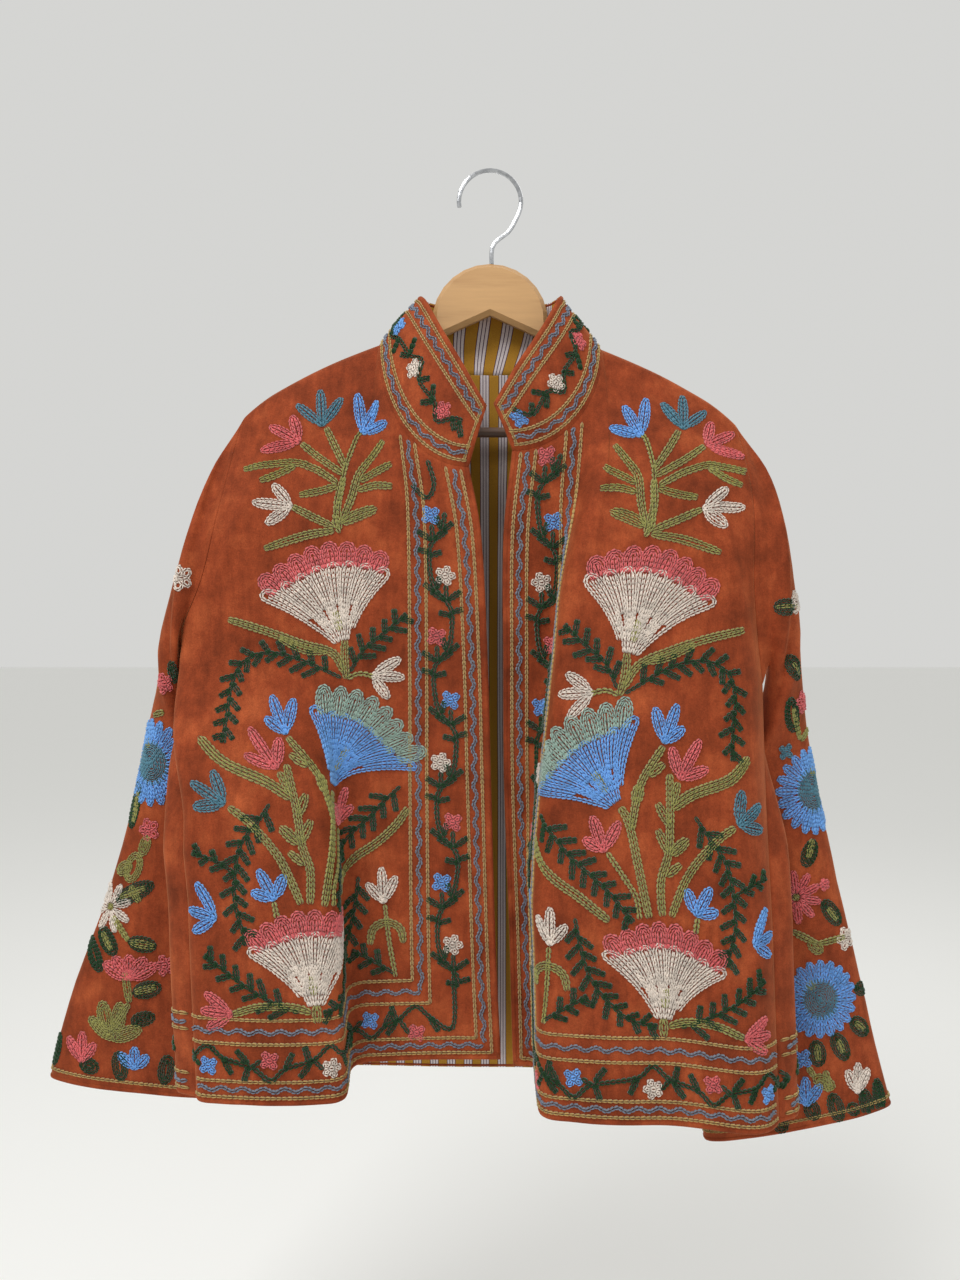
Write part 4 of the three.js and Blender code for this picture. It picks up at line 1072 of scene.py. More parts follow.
def blue_fan(work, on):
    stems(work, on, (7.5, 0.25, 0.7, (147, 551), (156, 566), (166, 600), (177, 640)))
    work.fan(*on((143, 549), (58, 546), (157, 476)), 57, "blue", "sage", pinch=0.66, depth=28, heart=22)
    stems(work, on,
          (7.4, 0.3, 0.6, (158, 570), (160, 545), (164, 528), (178, 502)),
          (11, 0.5, 0.5, (160, 550), (161, 532)),
          (9, 0.5, 0.4, (168, 527), (180, 516)))
    tulips(work, on,
           ("blue", 10, (178, 500), (167, 470), (186, 467), (194, 486)),
           ("coral", 10, (194, 528), (184, 502), (208, 494), (218, 517)))
    stems(work, on,
          (7.4, 0.3, 0.6, (193, 530), (190, 548)),
          (9.5, 0.3, 0.75, (189, 553), (206, 539), (236, 524), (252, 504)),
          (7.4, 0.2, 0.8, (185, 524), (188, 550), (190, 586), (185, 610), (188, 638)),
          (8.5, 0.5, 0.4, (189, 566), (177, 548)),
          (8.5, 0.5, 0.4, (190, 588), (179, 569)),
          (10, 0.5, 0.4, (191, 590), (206, 574)),
          (8, 0.5, 0.4, (189, 606), (201, 595)))
    tulips(work, on, ("teal", 10.5, (246, 558), (270, 541), (247, 530), (274, 562)))
    stems(work, on, (7.4, 0.2, 0.7, (244, 560), (228, 574), (208, 602), (195, 638)))
    tulips(work, on, ("coral", 10, (137, 587), (125, 558), (148, 562), (119, 577)))
    work.chain(on((140, 588), (155, 608), (166, 624), (169, 640)), "olive", 4.8)
    stems(work, on, (8.5, 0.3, 0.6, (145, 642), (122, 625), (101, 612), (84, 597), (72, 580)))
    tulips(work, on, ("blue", 10, (216, 634), (206, 613), (227, 609), (235, 628)))
    work.chain(on((217, 636), (215, 648)), "olive", 5)


def lower_fan(work, on):
    """The lowest fan flower with a bud, a side flower, a flower on a crossed stem, and ferns."""
    work.fan(*on((187, 722), (134, 668), (243, 677)), 60, "cream", "coral")
    stems(work, on,
          (9, 0.3, 0.8, (186, 720), (186, 736)),
          (7.4, 0.3, 0.6, (190, 727), (206, 722), (232, 722), (254, 729)))
    tulips(work, on,
           ("coral", 9.5, (254, 729), (277, 712), (281, 727), (276, 742)),
           ("blue", 9.5, (264, 651), (279, 622), (289, 645), (285, 664)),
           ("cream", 9, (96, 664), (84, 640), (97, 632), (111, 646)))
    work.chain(on((95, 666), (92, 700), (88, 729)), "olive", 4.5)
    stems(work, on, (7.6, 0.4, 0.6, (80, 700), (82, 687), (94, 681), (106, 687), (109, 701)))
    ferns(work, on,
          (16, (78, 560), (94, 575), (110, 592), (129, 607), (146, 622), (161, 640)),
          (16, (209, 556), (223, 572), (239, 591), (246, 616), (248, 639), (241, 668)),
          (12, (246, 614), (258, 606), (276, 600)),
          (15, (117, 640), (121, 665), (127, 687), (139, 705), (158, 722), (177, 727)),
          (14, (88, 727), (103, 717), (122, 706)),
          (16, (200, 727), (223, 717), (244, 704), (272, 684)))


HEM_END = 292  # where lines along a front's hem stop, short of the side seam
EDGE_LINES = ((7, 6, 292), (13.5, 12.5, 290), (20, 19, 288))  # in from the edge, up from the hem, hem's end
INNER_A, INNER_UP, INNER_STEP_A, INNER_STEP_UP, INNER_LEAN = 46, 50, 7.3, 10, 13


def front_borders(work, hem, edge_top, inner_top):
    """Three lines down the front edge, three along the hem, and three round inside the vine."""
    work.triple([[(a, edge_top - a * 0.2), (a, 500), (a, hem - up)] for a, up, _ in EDGE_LINES])
    work.triple([[(a, hem - up), (150, hem - up), (end, hem - up)] for a, up, end in EDGE_LINES])
    for k in range(3):
        a, b = INNER_A + INNER_STEP_A * k, hem - INNER_UP - INNER_STEP_UP * k
        corner = (a + INNER_LEAN, b)
        work.border_line(k, [(a, inner_top - 4 * k), (a + 8, 500), corner])
        work.border_line(k, [corner, (160, b), (HEM_END, b)])


EDGE_VINE = ((30, 259, "coral"), (42, 315, "blue"), (33, 369, "cream"), (43, 424, "coral"),
             (33, 482, "blue"), (43, 539, "cream"), (34, 594, "coral"), (45, 647, "blue"), (37, 702, "cream"))
EDGE_VINE_MIDDLE = 38
HEM_VINE = ((72, "coral", 10), (112, "blue", -2), (176, "cream", 5), (226, "coral", -3), (276, "blue", 3))
HEM_VINE_UP = 34


def hem_vine(work, drop, middle):
    """Flowers (place, wool, below the middle) and the stem that winds past them."""
    run = [(37, 724 + drop), (40, middle + 6)]
    for x, wool, off in HEM_VINE:
        side = 1 if off < 0 else -1
        work.rosette((x, middle + off), 8.5, wool, 4 if wool != "cream" else 5)
        run += [(x - 12, middle + side * 4), (x, middle + side * 14), (x + 14, middle + side * 3)]
        work.chain([(x + 7, middle + off), (x + 15, middle + side * 3)], "green", 4.6)
        work.leaf((x + 17, middle), (x + 26, middle - side * 11))
        work.leaf((x + 17, middle + 2), (x + 21, middle + side * 14))
        work.leaf((x - 12, middle + side * 4), (x - 19, middle - side * 9))
    work.chain([p for p in run if p[0] < HEM_END], "green", 4.6)


def front_needlework(front):
    """The same plant and borders on both fronts; the right one's upper spray lies further out."""
    work = Needlework()
    is_right = front["sign"] > 0
    drop, out = (5, 18) if is_right else (0, 0)

    def lower(*places):
        return [(a, b + drop) for a, b in places]

    def upper(*places):
        return [(a + out * (1 - smooth((b - 430) / 120)), b + drop) for a, b in places]

    top_spray(work, upper)
    upper_fan(work, upper)
    blue_fan(work, lower)
    lower_fan(work, lower)
    front_borders(work, front["hemB"], *((263, 242) if is_right else (278, 253)))
    if not is_right:
        work.chain([(36, 268), (34, 288), (44, 300), (56, 288)], "green", 4.6)
    work.vine([(x, y + drop, wool, 1 if x < EDGE_VINE_MIDDLE else -1)
               for x, y, wool in EDGE_VINE[0 if is_right else 1:]])
    hem_vine(work, drop, front["hemB"] - HEM_VINE_UP)
    return work


COLLAR_FLOWERS = ("coral", "cream", "blue")  # from either end
COLLAR_VINE_START, COLLAR_VINE_END, COLLAR_FLOWER_EVERY = 45, 18, 52


def collar_needlework(face):
    work = Needlework()
    flat = face["flat"]
    base, height = flat[0, :, 0], flat[-1, :, 1]
    whole = base[-1]

    def high(s):
        return float(np.interp(s, base, height))

    places = np.linspace(3, whole - 3, 60)
    work.triple([[(s, up) for s in places] for up in (5.5, 11.5, 17.5)])
    work.triple([[(s, high(s) - down) for s in places] for down in (5, 11, 17)])
    for s in (5, whole - 5):
        work.chain([(s, 6), (s, high(s) - 6)], "gold", 2.5, 4)
    run, count = [(21, high(21) / 2 + 5)], round((whole - 60) / COLLAR_FLOWER_EVERY)
    work.leaf((24, high(24) / 2 + 3), (15, high(15) / 2 - 7))
    for k in range(count + 1):
        s = mix(COLLAR_VINE_START, whole - COLLAR_VINE_END, k / count)
        wool = COLLAR_FLOWERS[k % 3 if k < count / 2 else (2 - count + k) % 3]
        middle, side = high(s) / 2, 1 if k % 2 else -1
        work.rosette((s, middle), 8.8, wool, 5 if wool != "blue" else 4)
        run += [(s - 14, middle), (s, middle + side * 10), (s + 13, middle + 1)]
        work.leaf((s - 13, middle), (s - 21, middle + side * 9))
        if k < count:
            work.leaf((s + 14, middle), (s + 24, middle - 9))
            work.leaf((s + 15, middle), (s + 25, middle + 9))
    work.chain([p for p in run if p[0] < whole - 12], "green", 4.6)
    return work


def back_hem(work):
    for low in (50, 0):
        work.triple([[(x, BACK_HEM_B - low - up) for x in np.linspace(-HEM_END, HEM_END, 30)]
                     for up in (6, 12.5, 19)])
    run, middle = [], BACK_HEM_B - 36
    for k, x in enumerate(range(-270, 271, 54)):
        side = 1 if k % 2 else -1
        work.rosette((x, middle), 8.5, ("coral", "blue", "cream")[k % 3])
        run += [(x - 14, middle), (x, middle + side * 11), (x + 14, middle)]
        work.leaf((x + 19, middle), (x + 28, middle - 10))
        work.leaf((x + 19, middle), (x + 27, middle + 10))
    work.chain([p for p in run if abs(p[0]) < 290], "green", 4.6)


# Side shoots of a plant on the back: where they leave it, how far out their flower is, and its wool
BACK_SHOOTS = ((120, 640, -44, "blue"), (120, 610, 52, "teal"), (113, 480, 62, "coral"),
               (116, 450, -50, "coral"), (112, 320, 52, "teal"), (110, 300, -46, "cream"))


def back_needlework():
    """Plain guess at the hidden back: the hem border and two plants like those of the fronts."""
    work = Needlework()
    back_hem(work)
    for side in (-1, 1):
        def on(*places):
            return [(side * x, b) for x, b in places]

        stems(work, on,
              (7.6, 0.2, 0.8, (120, 742), (120, 724)),
              (7.6, 0.2, 0.8, (119, 650), (117, 600), (112, 548)),
              (7.6, 0.2, 0.8, (114, 472), (118, 440), (117, 407)),
              (7.6, 0.2, 0.8, (116, 330), (110, 290), (104, 246)))
        work.fan(*on((120, 722), (62, 672), (178, 672)), 60, "cream", "coral")
        work.fan(*on((112, 545), (62, 496), (162, 496)), 56, "blue", "sage", depth=19)
        work.fan(*on((117, 405), (62, 356), (172, 356)), 60, "cream", "coral")
        for x, b, out, wool in BACK_SHOOTS:
            tip_x, tip_b, lean = x + out, b - 34, math.copysign(1, out)
            stems(work, on, (7, 0.3, 0.6, (x, b), (x + out * 0.5, b - 12), (tip_x, tip_b)))
            tulips(work, on, (wool, 10, (tip_x, tip_b), (tip_x + lean * 4, tip_b - 30),
                              (tip_x + lean * 22, tip_b - 20), (tip_x + lean * 28, tip_b + 2)))
        tulips(work, on, ("blue", 10, (104, 246), (88, 222), (104, 212), (120, 222)))
        ferns(work, on,
              (15, (190, 716), (204, 660), (226, 610), (236, 560)),
              (14, (112, 640), (84, 600), (66, 560)),
              (15, (122, 470), (170, 440), (205, 400), (222, 360)),
              (14, (110, 470), (84, 440), (62, 420)),
              (14, (40, 716), (46, 650), (36, 590)))
    return work


# Round: place, size, its dot. Rosettes: place, size, wool, petals. Daisies: the same and their turn.
# Leaves: from, to, wool, width. Tulips: base, tips, wool. Fans: place, how wide, how tall.
SLEEVE_MOTIFS = {
    "left": dict(
        round=((303, 530, 40, (308, 513)),),
        rosettes=((304, 590, 11, "coral", 5), (264, 368, 12, "cream", 5), (284, 459, 10, "coral", 5),
                  (290, 711, 10, "coral", 5)),
        daisies=((343, 661, 24, "cream", 8, 0.5),),
        leaves=((305, 596, 312, 613, "olive", 9), (315, 612, 325, 637, "olive", 16),
                (322, 622, 338, 630, "olive", 10), (322, 640, 312, 655, "olive", 8),
                (336, 655, 300, 638, "green", 13), (334, 652, 306, 641, "olive", 5),
                (340, 668, 322, 690, "olive", 5), (322, 690, 298, 694, "olive", 8),
                (322, 690, 298, 694, "green", 12), (352, 680, 336, 702, "green", 13),
                (350, 683, 339, 699, "olive", 5), (366, 690, 350, 718, "green", 12),
                (326, 716, 322, 745, "olive", 8), (322, 745, 340, 772, "olive", 7),
                (348, 745, 342, 770, "olive", 12), (330, 745, 334, 772, "olive", 11),
                (360, 760, 338, 778, "olive", 9), (312, 768, 338, 778, "olive", 11),
                (318, 735, 297, 730, "olive", 7), (318, 736, 294, 730, "green", 13),
                (320, 762, 300, 757, "green", 11), (368, 800, 352, 806, "green", 12),
                (333, 790, 330, 815, "green", 12), (288, 793, 292, 818, "green", 12),
                (392, 778, 398, 806, "green", 9), (318, 548, 326, 590, "green", 11),
                (318, 556, 322, 586, "olive", 5), (286, 484, 302, 488, "olive", 5),
                (275, 440, 268, 458, "green", 11)),
        tulips=((367, 800, ((382, 778), (367, 772), (354, 782)), "coral"),
                (318, 805, ((333, 790), (318, 784), (305, 792)), "blue")),
        fans=((322, 728, 27, 16),),
    ),
    "right": dict(
        round=((292, 556, 40, (293, 539)), (295, 742, 36, (286, 729))),
        rosettes=((300, 640, 6, "coral", 5), (280, 476, 11, "coral", 5), (279, 796, 10, "blue", 4),
                  (322, 690, 11, "cream", 5), (262, 520, 8, "teal", 4), (266, 388, 11, "cream", 5)),
        daisies=((272, 650, 25, "coral", 10, 0.2),),
        leaves=((240, 393, 262, 393, "green", 12), (240, 393, 268, 391, "olive", 4),
                (257, 435, 272, 455, "green", 12), (262, 440, 272, 452, "olive", 4),
                (262, 472, 270, 502, "green", 14), (266, 480, 277, 510, "olive", 5),
                (277, 511, 292, 500, "olive", 5), (290, 600, 280, 622, "green", 13),
                (288, 598, 283, 616, "olive", 6), (298, 655, 316, 676, "green", 13),
                (302, 660, 313, 673, "olive", 5), (268, 680, 292, 692, "olive", 6),
                (292, 692, 322, 688, "olive", 5), (285, 690, 296, 700, "olive", 9),
                (291, 780, 295, 802, "green", 13), (292, 782, 294, 798, "olive", 5),
                (308, 774, 320, 797, "green", 13), (311, 778, 317, 792, "olive", 5),
                (325, 762, 342, 776, "green", 13), (328, 764, 339, 773, "olive", 5),
                (330, 735, 346, 738, "green", 10), (290, 812, 308, 822, "olive", 10),
                (300, 806, 304, 826, "olive", 8), (284, 802, 290, 812, "olive", 6),
                (306, 828, 314, 852, "green", 12), (285, 834, 292, 850, "green", 12),
                (258, 846, 262, 862, "green", 12), (336, 826, 342, 850, "green", 11),
                (350, 818, 354, 846, "green", 10), (322, 838, 330, 846, "green", 9)),
        tulips=((283, 838, ((268, 816), (282, 811), (297, 818)), "blue"),
                (330, 828, ((320, 806), (331, 800), (342, 806)), "cream")),
        fans=(),
    ),
}


def clear_of(motifs, edge):
    """The motifs that stay clear of a panel's outer edge, given as flat places from top to bottom."""
    def clear(x, b, size):
        return np.interp(b, edge[:, 1], abs(edge[:, 0])) - x > size

    kept = {name: tuple(m for m in motifs[name] if clear(*m[:3]))
            for name in ("round", "rosettes", "daisies", "fans")}
    kept["leaves"] = tuple(m for m in motifs["leaves"] if clear(*m[:2], 4) and clear(*m[2:4], 4))
    kept["tulips"] = tuple(m for m in motifs["tulips"] if all(clear(*tip, 3) for tip in m[2]))
    return kept


NARROW_LEAF = 9  # a sleeve's leaf below this width is a blade, a wider one a loop
ROUND_PETALS, ROUND_RINGS, SCALLOPS = 20, 6, 5


def round_flower(work, centre, size, dot):
    for k in range(ROUND_PETALS):
        out = direction(2 * math.pi * k / ROUND_PETALS)
        work.petal(np.array(centre) + out * size * 0.42, np.array(centre) + out * size, "blue", 9.5)
    for ring in range(ROUND_RINGS):
        work.loop(centre, max(1, size * 0.48 - ring * ROW), max(1, size * 0.42 - ring * ROW), 1.2, "teal")
    work.loop(dot, 3.4, 3.4, 0, "olive", 2)


def sleeve_leaf(work, start, end, wool, width):
    if width < NARROW_LEAF:
        work.blade([start, end], wool, width + 0.8, 0.5, 0.25)
        return
    start, end = np.array(start), np.array(end)
    along = end - start
    angle = math.atan2(along[1], along[0])
    work.loop((start + end) / 2, np.linalg.norm(along) / 2, width / 2, angle, wool, 3)


def sleeve_needlework(sign, motifs, cuff):
    """Laid out as seen from the front, as places (out from the middle, down); cuff is the sleeve's
    lower edge. Both sides of a sleeve have the same flowers."""
    work = Needlework()
    work.chain([(x, b - 9) for x, b in cuff], "gold", 3.1)

    def on(x, b):
        return sign * x, b

    for x, b, size, dot in motifs["round"]:
        round_flower(work, on(x, b), size, on(*dot))
    for x, b, size, wool, petals in motifs["rosettes"]:
        work.rosette(on(x, b), size, wool, petals)
    for x, b, size, wool, petals, turn in motifs["daisies"]:
        work.daisy(on(x, b), size, wool, petals, turn)
    for x, b, wide, tall in motifs["fans"]:
        for k in range(SCALLOPS):
            out, up = direction(math.pi * (k + 0.5) / SCALLOPS)
            work.petal(on(x, b - 4), on(x + wide * out, b - 14 - tall * up * 0.8), "coral", 13)
    for x0, b0, x1, b1, wool, width in motifs["leaves"]:
        sleeve_leaf(work, on(x0, b0), on(x1, b1), wool, width)
    for x, b, tips, wool in motifs["tulips"]:
        work.tulip(on(x, b), [on(*tip) for tip in tips], wool)
    return work


# ---- Materials ------------------------------------------------------------------------------
def material(name, roughness, **constants):
    """A new material, its tree and its shader, with the shader's other inputs as given."""
    made = bpy.data.materials.new(name)
    made.use_nodes = True
    shader = made.node_tree.nodes["Principled BSDF"]
    shader.inputs["Roughness"].default_value = roughness
    for socket, value in constants.items():
        shader.inputs[socket.replace("_", " ")].default_value = value
    return made, made.node_tree, shader


def node(tree, kind, **settings):
    """A new node; each setting is one of its inputs, or else one of its own properties."""
    made = tree.nodes.new(kind)
    for name, value in settings.items():
        if name in made.inputs:
            made.inputs[name].default_value = value
        else:
            setattr(made, name, value)
    return made


def grain_of(tree, scale, detail, rough, where=None):
    """Noise from 0 to 1, in the object's own place unless another is given."""
    made = node(tree, "ShaderNodeTexNoise", Scale=scale, Detail=detail, Roughness=rough)
    if where is None:
        where = node(tree, "ShaderNodeTexCoord").outputs["Object"]
    tree.links.new(where, made.inputs["Vector"])
    return made.outputs["Fac"]


def ramp(tree, value, stops, interpolation="LINEAR"):
    """A colour for every value, from stops (value, colour)."""
    made = node(tree, "ShaderNodeValToRGB")
    made.color_ramp.interpolation = interpolation
    elements = made.color_ramp.elements
    while len(elements) < len(stops):
        elements.new(0.5)
    for element, (at, colour) in zip(elements, stops):
        element.position = at
        element.color = (*colour, 1)
    tree.links.new(value, made.inputs["Fac"])
    return made.outputs["Color"]


def multiplied(tree, share, first, second):
    """The first colour, times the second by a share of its strength."""
    made = node(tree, "ShaderNodeMix", data_type="RGBA", blend_type="MULTIPLY")
    made.inputs["Factor"].default_value = share
    tree.links.new(first, made.inputs[6])
    tree.links.new(second, made.inputs[7])
    return made.outputs[2]


def stretched(tree, scale):
    """The object's own place, scaled along its axes."""
    made = node(tree, "ShaderNodeMapping", Scale=scale)
    tree.links.new(node(tree, "ShaderNodeTexCoord").outputs["Object"], made.inputs["Vector"])
    return made.outputs["Vector"]


def bump(tree, shader, height, strength, distance):
    """Relief by formula; its distance is in metres."""
    made = node(tree, "ShaderNodeBump", Strength=strength, Distance=distance)
    tree.links.new(height, made.inputs["Height"])
    tree.links.new(made.outputs["Normal"], shader.inputs["Normal"])


def velvet_material():
    """Rust cotton velvet: the nap lies light and dark in soft patches, with fine brushed streaks."""
    made, tree, shader = material("rust_velvet", 0.82, Sheen_Weight=0.42, Sheen_Roughness=0.36)
    shader.inputs["Sheen Tint"].default_value = (1.0, 0.42, 0.18, 1)
    shader.inputs["Specular IOR Level"].default_value = 0.12
    patches = grain_of(tree, 22, 6, 0.68)
    fibres = grain_of(tree, 900, 2, 0.7)
    strokes = ramp(tree, grain_of(tree, 150, 3, 0.6, stretched(tree, (1, 1, 0.22))),
                   [(0.32, (0.80, 0.78, 0.78)), (0.68, (1.2, 1.18, 1.16))])
    colour = ramp(tree, patches, [(0.30, (0.140, 0.0265, 0.0085)), (0.5, (0.255, 0.0475, 0.0150)),
                                  (0.70, (0.390, 0.087, 0.028))])
    speck = ramp(tree, fibres, [(0.3, (0.72, 0.70, 0.70)), (0.7, (1.18, 1.16, 1.15))])
    napped = multiplied(tree, 0.8, multiplied(tree, 0.75, colour, strokes), speck)
    tree.links.new(napped, shader.inputs["Base Color"])
    bump(tree, shader, fibres, 0.35, 0.0006)
    return made


STRIPE_REPEAT = 0.0172  # metres from one group of stripes to the next


def stripe_material():
    """Striped cotton lining, woven: mustard, and between it white with three dark purple lines."""
    made, tree, shader = material("striped_cotton", 0.88)
    shader.inputs["Specular IOR Level"].default_value = 0.2
    flat = node(tree, "ShaderNodeSeparateXYZ")
    tree.links.new(node(tree, "ShaderNodeUVMap", uv_map="flat").outputs["UV"], flat.inputs[0])
    repeats = node(tree, "ShaderNodeMath", operation="DIVIDE")
    repeats.inputs[1].default_value = STRIPE_REPEAT
    tree.links.new(flat.outputs[0], repeats.inputs[0])
    across = node(tree, "ShaderNodeMath", operation="FRACT")
    tree.links.new(repeats.outputs[0], across.inputs[0])
    white, purple, mustard = (0.62, 0.55, 0.55), (0.055, 0.02, 0.05), (0.40, 0.20, 0.022)
    stops = [(0.0, mustard), (0.46, purple), (0.50, white), (0.61, purple), (0.65, white), (0.77, purple),
             (0.81, white), (0.93, purple), (0.97, mustard)]
    stripes = ramp(tree, across.outputs[0], stops, "CONSTANT")
    weave = grain_of(tree, 1400, 2, 0.6)
    shade = ramp(tree, weave, [(0.3, (0.74, 0.74, 0.74)), (0.7, (1.1, 1.1, 1.1))])
    tree.links.new(multiplied(tree, 0.8, stripes, shade), shader.inputs["Base Color"])
    bump(tree, shader, weave, 0.3, 0.0004)
    return made


WOOL_COLOURS = dict(
    gold=(0.50, 0.34, 0.12), slate=(0.20, 0.235, 0.30), green=(0.012, 0.050, 0.014),
    olive=(0.33, 0.315, 0.095), cream=(0.82, 0.72, 0.63), coral=(0.74, 0.155, 0.16),
    blue=(0.175, 0.41, 0.84), teal=(0.10, 0.25, 0.33), sage=(0.36, 0.49, 0.42))


def wool_material(name, colour):
    """Two-ply wool: uneven dye along the thread, a soft fuzz and fine twisted fibres."""
    made, tree, shader = material("wool_" + name, 0.9, Sheen_Weight=0.25, Sheen_Roughness=0.5)
    shader.inputs["Specular IOR Level"].default_value = 0.12
    dye = grain_of(tree, 130, 3, 0.6)
    twist = grain_of(tree, 1700, 2, 0.65)
    dark, light = tuple(c * 0.8 for c in colour), tuple(min(0.95, c * 1.14) for c in colour)
    base = ramp(tree, dye, [(0.32, dark), (0.5, colour), (0.68, light)])
    speck = ramp(tree, twist, [(0.3, (0.7, 0.7, 0.7)), (0.7, (1.16, 1.16, 1.16))])
    tree.links.new(multiplied(tree, 0.75, base, speck), shader.inputs["Base Color"])
    bump(tree, shader, twist, 0.5, 0.0005)
    return made


def wood_material(name, pale, dark, roughness):
    """Grain runs along the hanger's arms; satin lacquer."""
    made, tree, shader = material(name, roughness, Coat_Weight=0.25, Coat_Roughness=0.3)
    grain = grain_of(tree, 2, 6, 0.6, stretched(tree, (5, 60, 60)))
    tree.links.new(ramp(tree, grain, [(0.3, dark), (0.5, pale), (0.75, tuple(c * 1.12 for c in pale))]),
                   shader.inputs["Base Color"])
    bump(tree, shader, grain, 0.12, 0.0004)
    return made


def chrome_material():
    """Plated wire, a little dulled."""
    made, tree, shader = material("plated_wire", 0.18, Metallic=1.0)
    wear = grain_of(tree, 240, 3, 0.6)
    plating = ramp(tree, wear, [(0.3, (0.36, 0.37, 0.39)), (0.7, (0.58, 0.59, 0.61))])
    tree.links.new(plating, shader.inputs["Base Color"])
    bump(tree, shader, wear, 0.08, 0.0002)
    return made


# ---- Build everything -----------------------------------------------------------------------
VELVET_LOOK, STRIPE_LOOK = velvet_material(), stripe_material()
WOOL_LOOKS = [wool_material(name, WOOL_COLOURS[name]) for name in WOOL]


def dress(piece, looks):
    for look in looks:
        piece.data.materials.append(look)
    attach(piece, "root")
    return piece


FACES = jacket_faces()
PANELS = ("front_left", "front_right", "back", "sleeve_left", "sleeve_right", "collar")
LINED_APART = ("back", "collar")  # their lining is a piece of its own
VELVET_RIM, LINING_RIM = 0.8, 0.2  # how far the rims are rounded off, in mm
for name in PANELS:
    if name in LINED_APART:
        depth, looks = VELVET, (VELVET_LOOK, VELVET_LOOK)
    else:
        depth, looks = WALL, (VELVET_LOOK, STRIPE_LOOK)
    piece = surface_mesh("cloth_" + name, FACES[name], (0, depth), VELVET_RIM)
    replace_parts(dress(piece, looks), name)
for name in LINED_APART:
    lining = "lining_" + name
    depths = (VELVET + GAP, VELVET + GAP + LINING)
    piece = surface_mesh("cloth_" + lining, FACES[name], depths, LINING_RIM)
    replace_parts(dress(piece, (STRIPE_LOOK, STRIPE_LOOK)), lining)


def panel_of(name):
    face = FACES[name]
    return Flat(face["grid"], face["flat"], face["normals"])


WRAPPED = 9  # columns of a sleeve's back that its front flowers reach round to


def side_of_sleeve(name, front):
    """The front or the back half of a sleeve as one flat panel: places down are as seen from the
    front, and places out grow from the half's middle column by what the cloth turns away."""
    face = FACES[name]
    ring = face["grid"].shape[1]
    if front:
        columns = [*range(ring - WRAPPED, ring), *range(UNDERARM + 1)]
        middle = WRAPPED + UNDERARM // 2
    else:
        columns = list(range(ring - WRAPPED, UNDERARM - 1, -1))
        middle = UNDERARM // 2 - WRAPPED
    grid, normals = face["grid"][:, columns], face["normals"][:, columns]
    across = np.diff(grid, axis=1)
    inwards = -np.sign(grid[0, 0, 0])
    seen = inwards * across[:, :, 0]
    turned = np.hypot(across[:, :, 0], across[:, :, 1])
    steps = seen + turned - abs(seen)
    if front:
        steps[:, :WRAPPED] = turned[:, :WRAPPED]
    inward = np.concatenate([np.zeros((len(grid), 1)), np.cumsum(steps, 1)], 1)
    inward -= inward[:, middle:middle + 1]
    out = grid[:, middle:middle + 1, 0] + inwards * inward
    return grid, np.stack([out, -grid[:, :, 2]], 2), normals


OPEN_EDGES = {"front_left": ("start", "hem"), "front_right": ("start", "hem"), "back": ("hem",),
              "collar": ("start", "hem", "end")}
NEEDLEWORK = {}
for name in PANELS:
    face = FACES[name]
    rows, columns = face["grid"].shape[:2]
    if face["tube"]:
        run = [(rows - 1, c, rows - 2, c) for c in range(columns)]
    else:
        run = border(face, *OPEN_EDGES[name])
    edge = edge_roll("edge_" + name, face, [(run, face["tube"])])
    NEEDLEWORK[name] = [dress(edge, (VELVET_LOOK,))]


def embroider(name, work, panel, cloth):
    piece = dress(stitch("wool_" + name, work, panel), WOOL_LOOKS)
    NEEDLEWORK.setdefault(cloth, []).append(piece)


embroider("front_left", front_needlework(LEFT), panel_of("front_left"), "front_left")
embroider("front_right", front_needlework(RIGHT), panel_of("front_right"), "front_right")
embroider("collar", collar_needlework(FACES["collar"]), panel_of("collar"), "collar")
embroider("back", back_needlework(), panel_of("back"), "back")
for side, sign in (("left", -1), ("right", 1)):
    for front in (True, False):
        grid, flat, normals = side_of_sleeve("sleeve_" + side, front)
        motifs = SLEEVE_MOTIFS[side] if front else clear_of(SLEEVE_MOTIFS[side], flat[:, 0])
        work = sleeve_needlework(sign, motifs, flat[-1])
        name = "sleeve_" + side + ("_front" if front else "_back")
        embroider(name, work, Flat(grid, flat, normals), "sleeve_" + side)

BEECH = wood_material("pale_beech", (0.50, 0.285, 0.115), (0.42, 0.225, 0.085), 0.42)
# The bar gets a dark brown wood, far darker than the pale beech of the arms.
DARK_BROWN_WOOD = wood_material("dark_brown_bar_wood", (0.13, 0.062, 0.033), (0.075, 0.034, 0.018), 0.5)
for name, look in (("hanger_wood", BEECH), ("hanger_bar", DARK_BROWN_WOOD), ("hanger_hook", chrome_material())):
    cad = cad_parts[name]
    cad.data.materials.clear()
    cad.data.materials.append(look)

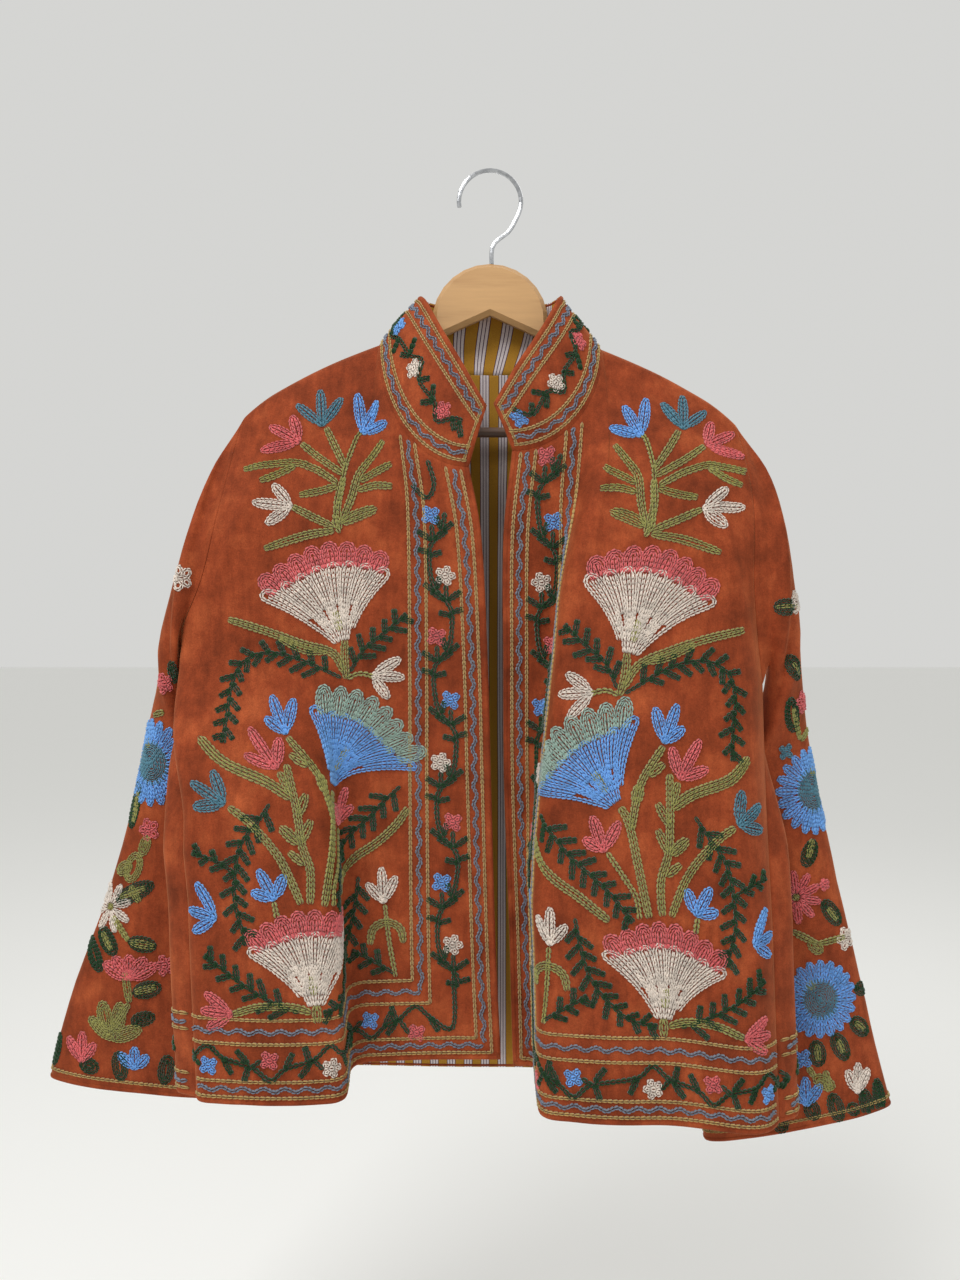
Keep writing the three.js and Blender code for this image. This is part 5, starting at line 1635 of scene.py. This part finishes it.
TURNED_EDGES = 0.03  # the share of a piece's cut that its turned edges take
FLAT_SIZES = {  # of the cut, in metres: width and length
    "front_left": (0.302, 0.660), "front_right": (0.302, 0.665),
    "back": (0.60, 0.66), "lining_back": (0.60, 0.66),
    "sleeve_left": (0.45, 0.60), "sleeve_right": (0.45, 0.60),
    "collar": (0.56, 0.06), "lining_collar": (0.56, 0.06),
}


def area_of(face):
    """Square metres of cloth in a face's grid, and in the edges turned in all round it."""
    grid = face["grid"] * MM
    if face["tube"]:
        grid = np.concatenate([grid, grid[:, :1]], 1)
    cross = np.cross(grid[1:, 1:] - grid[:-1, :-1], grid[1:, :-1] - grid[:-1, 1:])
    return float(np.linalg.norm(cross, axis=2).sum() / 2) * (1 + TURNED_EDGES)


for name, flat in FLAT_SIZES.items():
    area_of(FACES[name.removeprefix("lining_")])


FLOOR_SIZE, FLOOR_Z = 60, -1.3
LIT_AT = (0, 0, -0.45)  # where the lamps point
LAMPS = (  # name, place, size in metres, watts
    ("key", (-0.9, -1.5, 1.5), 1.0, 40),
    ("fill", (1.6, -1.6, -0.2), 1.6, 5),
    ("rim", (0.4, 1.8, 1.2), 1.5, 8),
)


def stage_and_light():
    """A pale floor far below, an even pale surround and three soft lamps."""
    bpy.ops.mesh.primitive_plane_add(size=FLOOR_SIZE, location=(0, 0, FLOOR_Z))
    floor = bpy.context.object
    floor.name = "floor"
    look, _, shader = material("pale_floor", 0.9)
    shader.inputs["Base Color"].default_value = (0.92, 0.92, 0.90, 1)
    floor.data.materials.append(look)
    world = bpy.data.worlds.new("studio")
    world.use_nodes = True
    world.node_tree.nodes["Background"].inputs["Color"].default_value = (0.83, 0.83, 0.81, 1)
    world.node_tree.nodes["Background"].inputs["Strength"].default_value = 0.80
    bpy.context.scene.world = world
    for name, place, size, power in LAMPS:
        data = bpy.data.lights.new(name, "AREA")
        data.energy, data.size = power, size
        lamp = bpy.data.objects.new(name, data)
        lamp.location = place
        lamp.rotation_euler = (Vector(LIT_AT) - Vector(place)).to_track_quat("-Z", "Y").to_euler()
        bpy.context.scene.collection.objects.link(lamp)
    bpy.context.scene.view_settings.view_transform = "Standard"


stage_and_light()
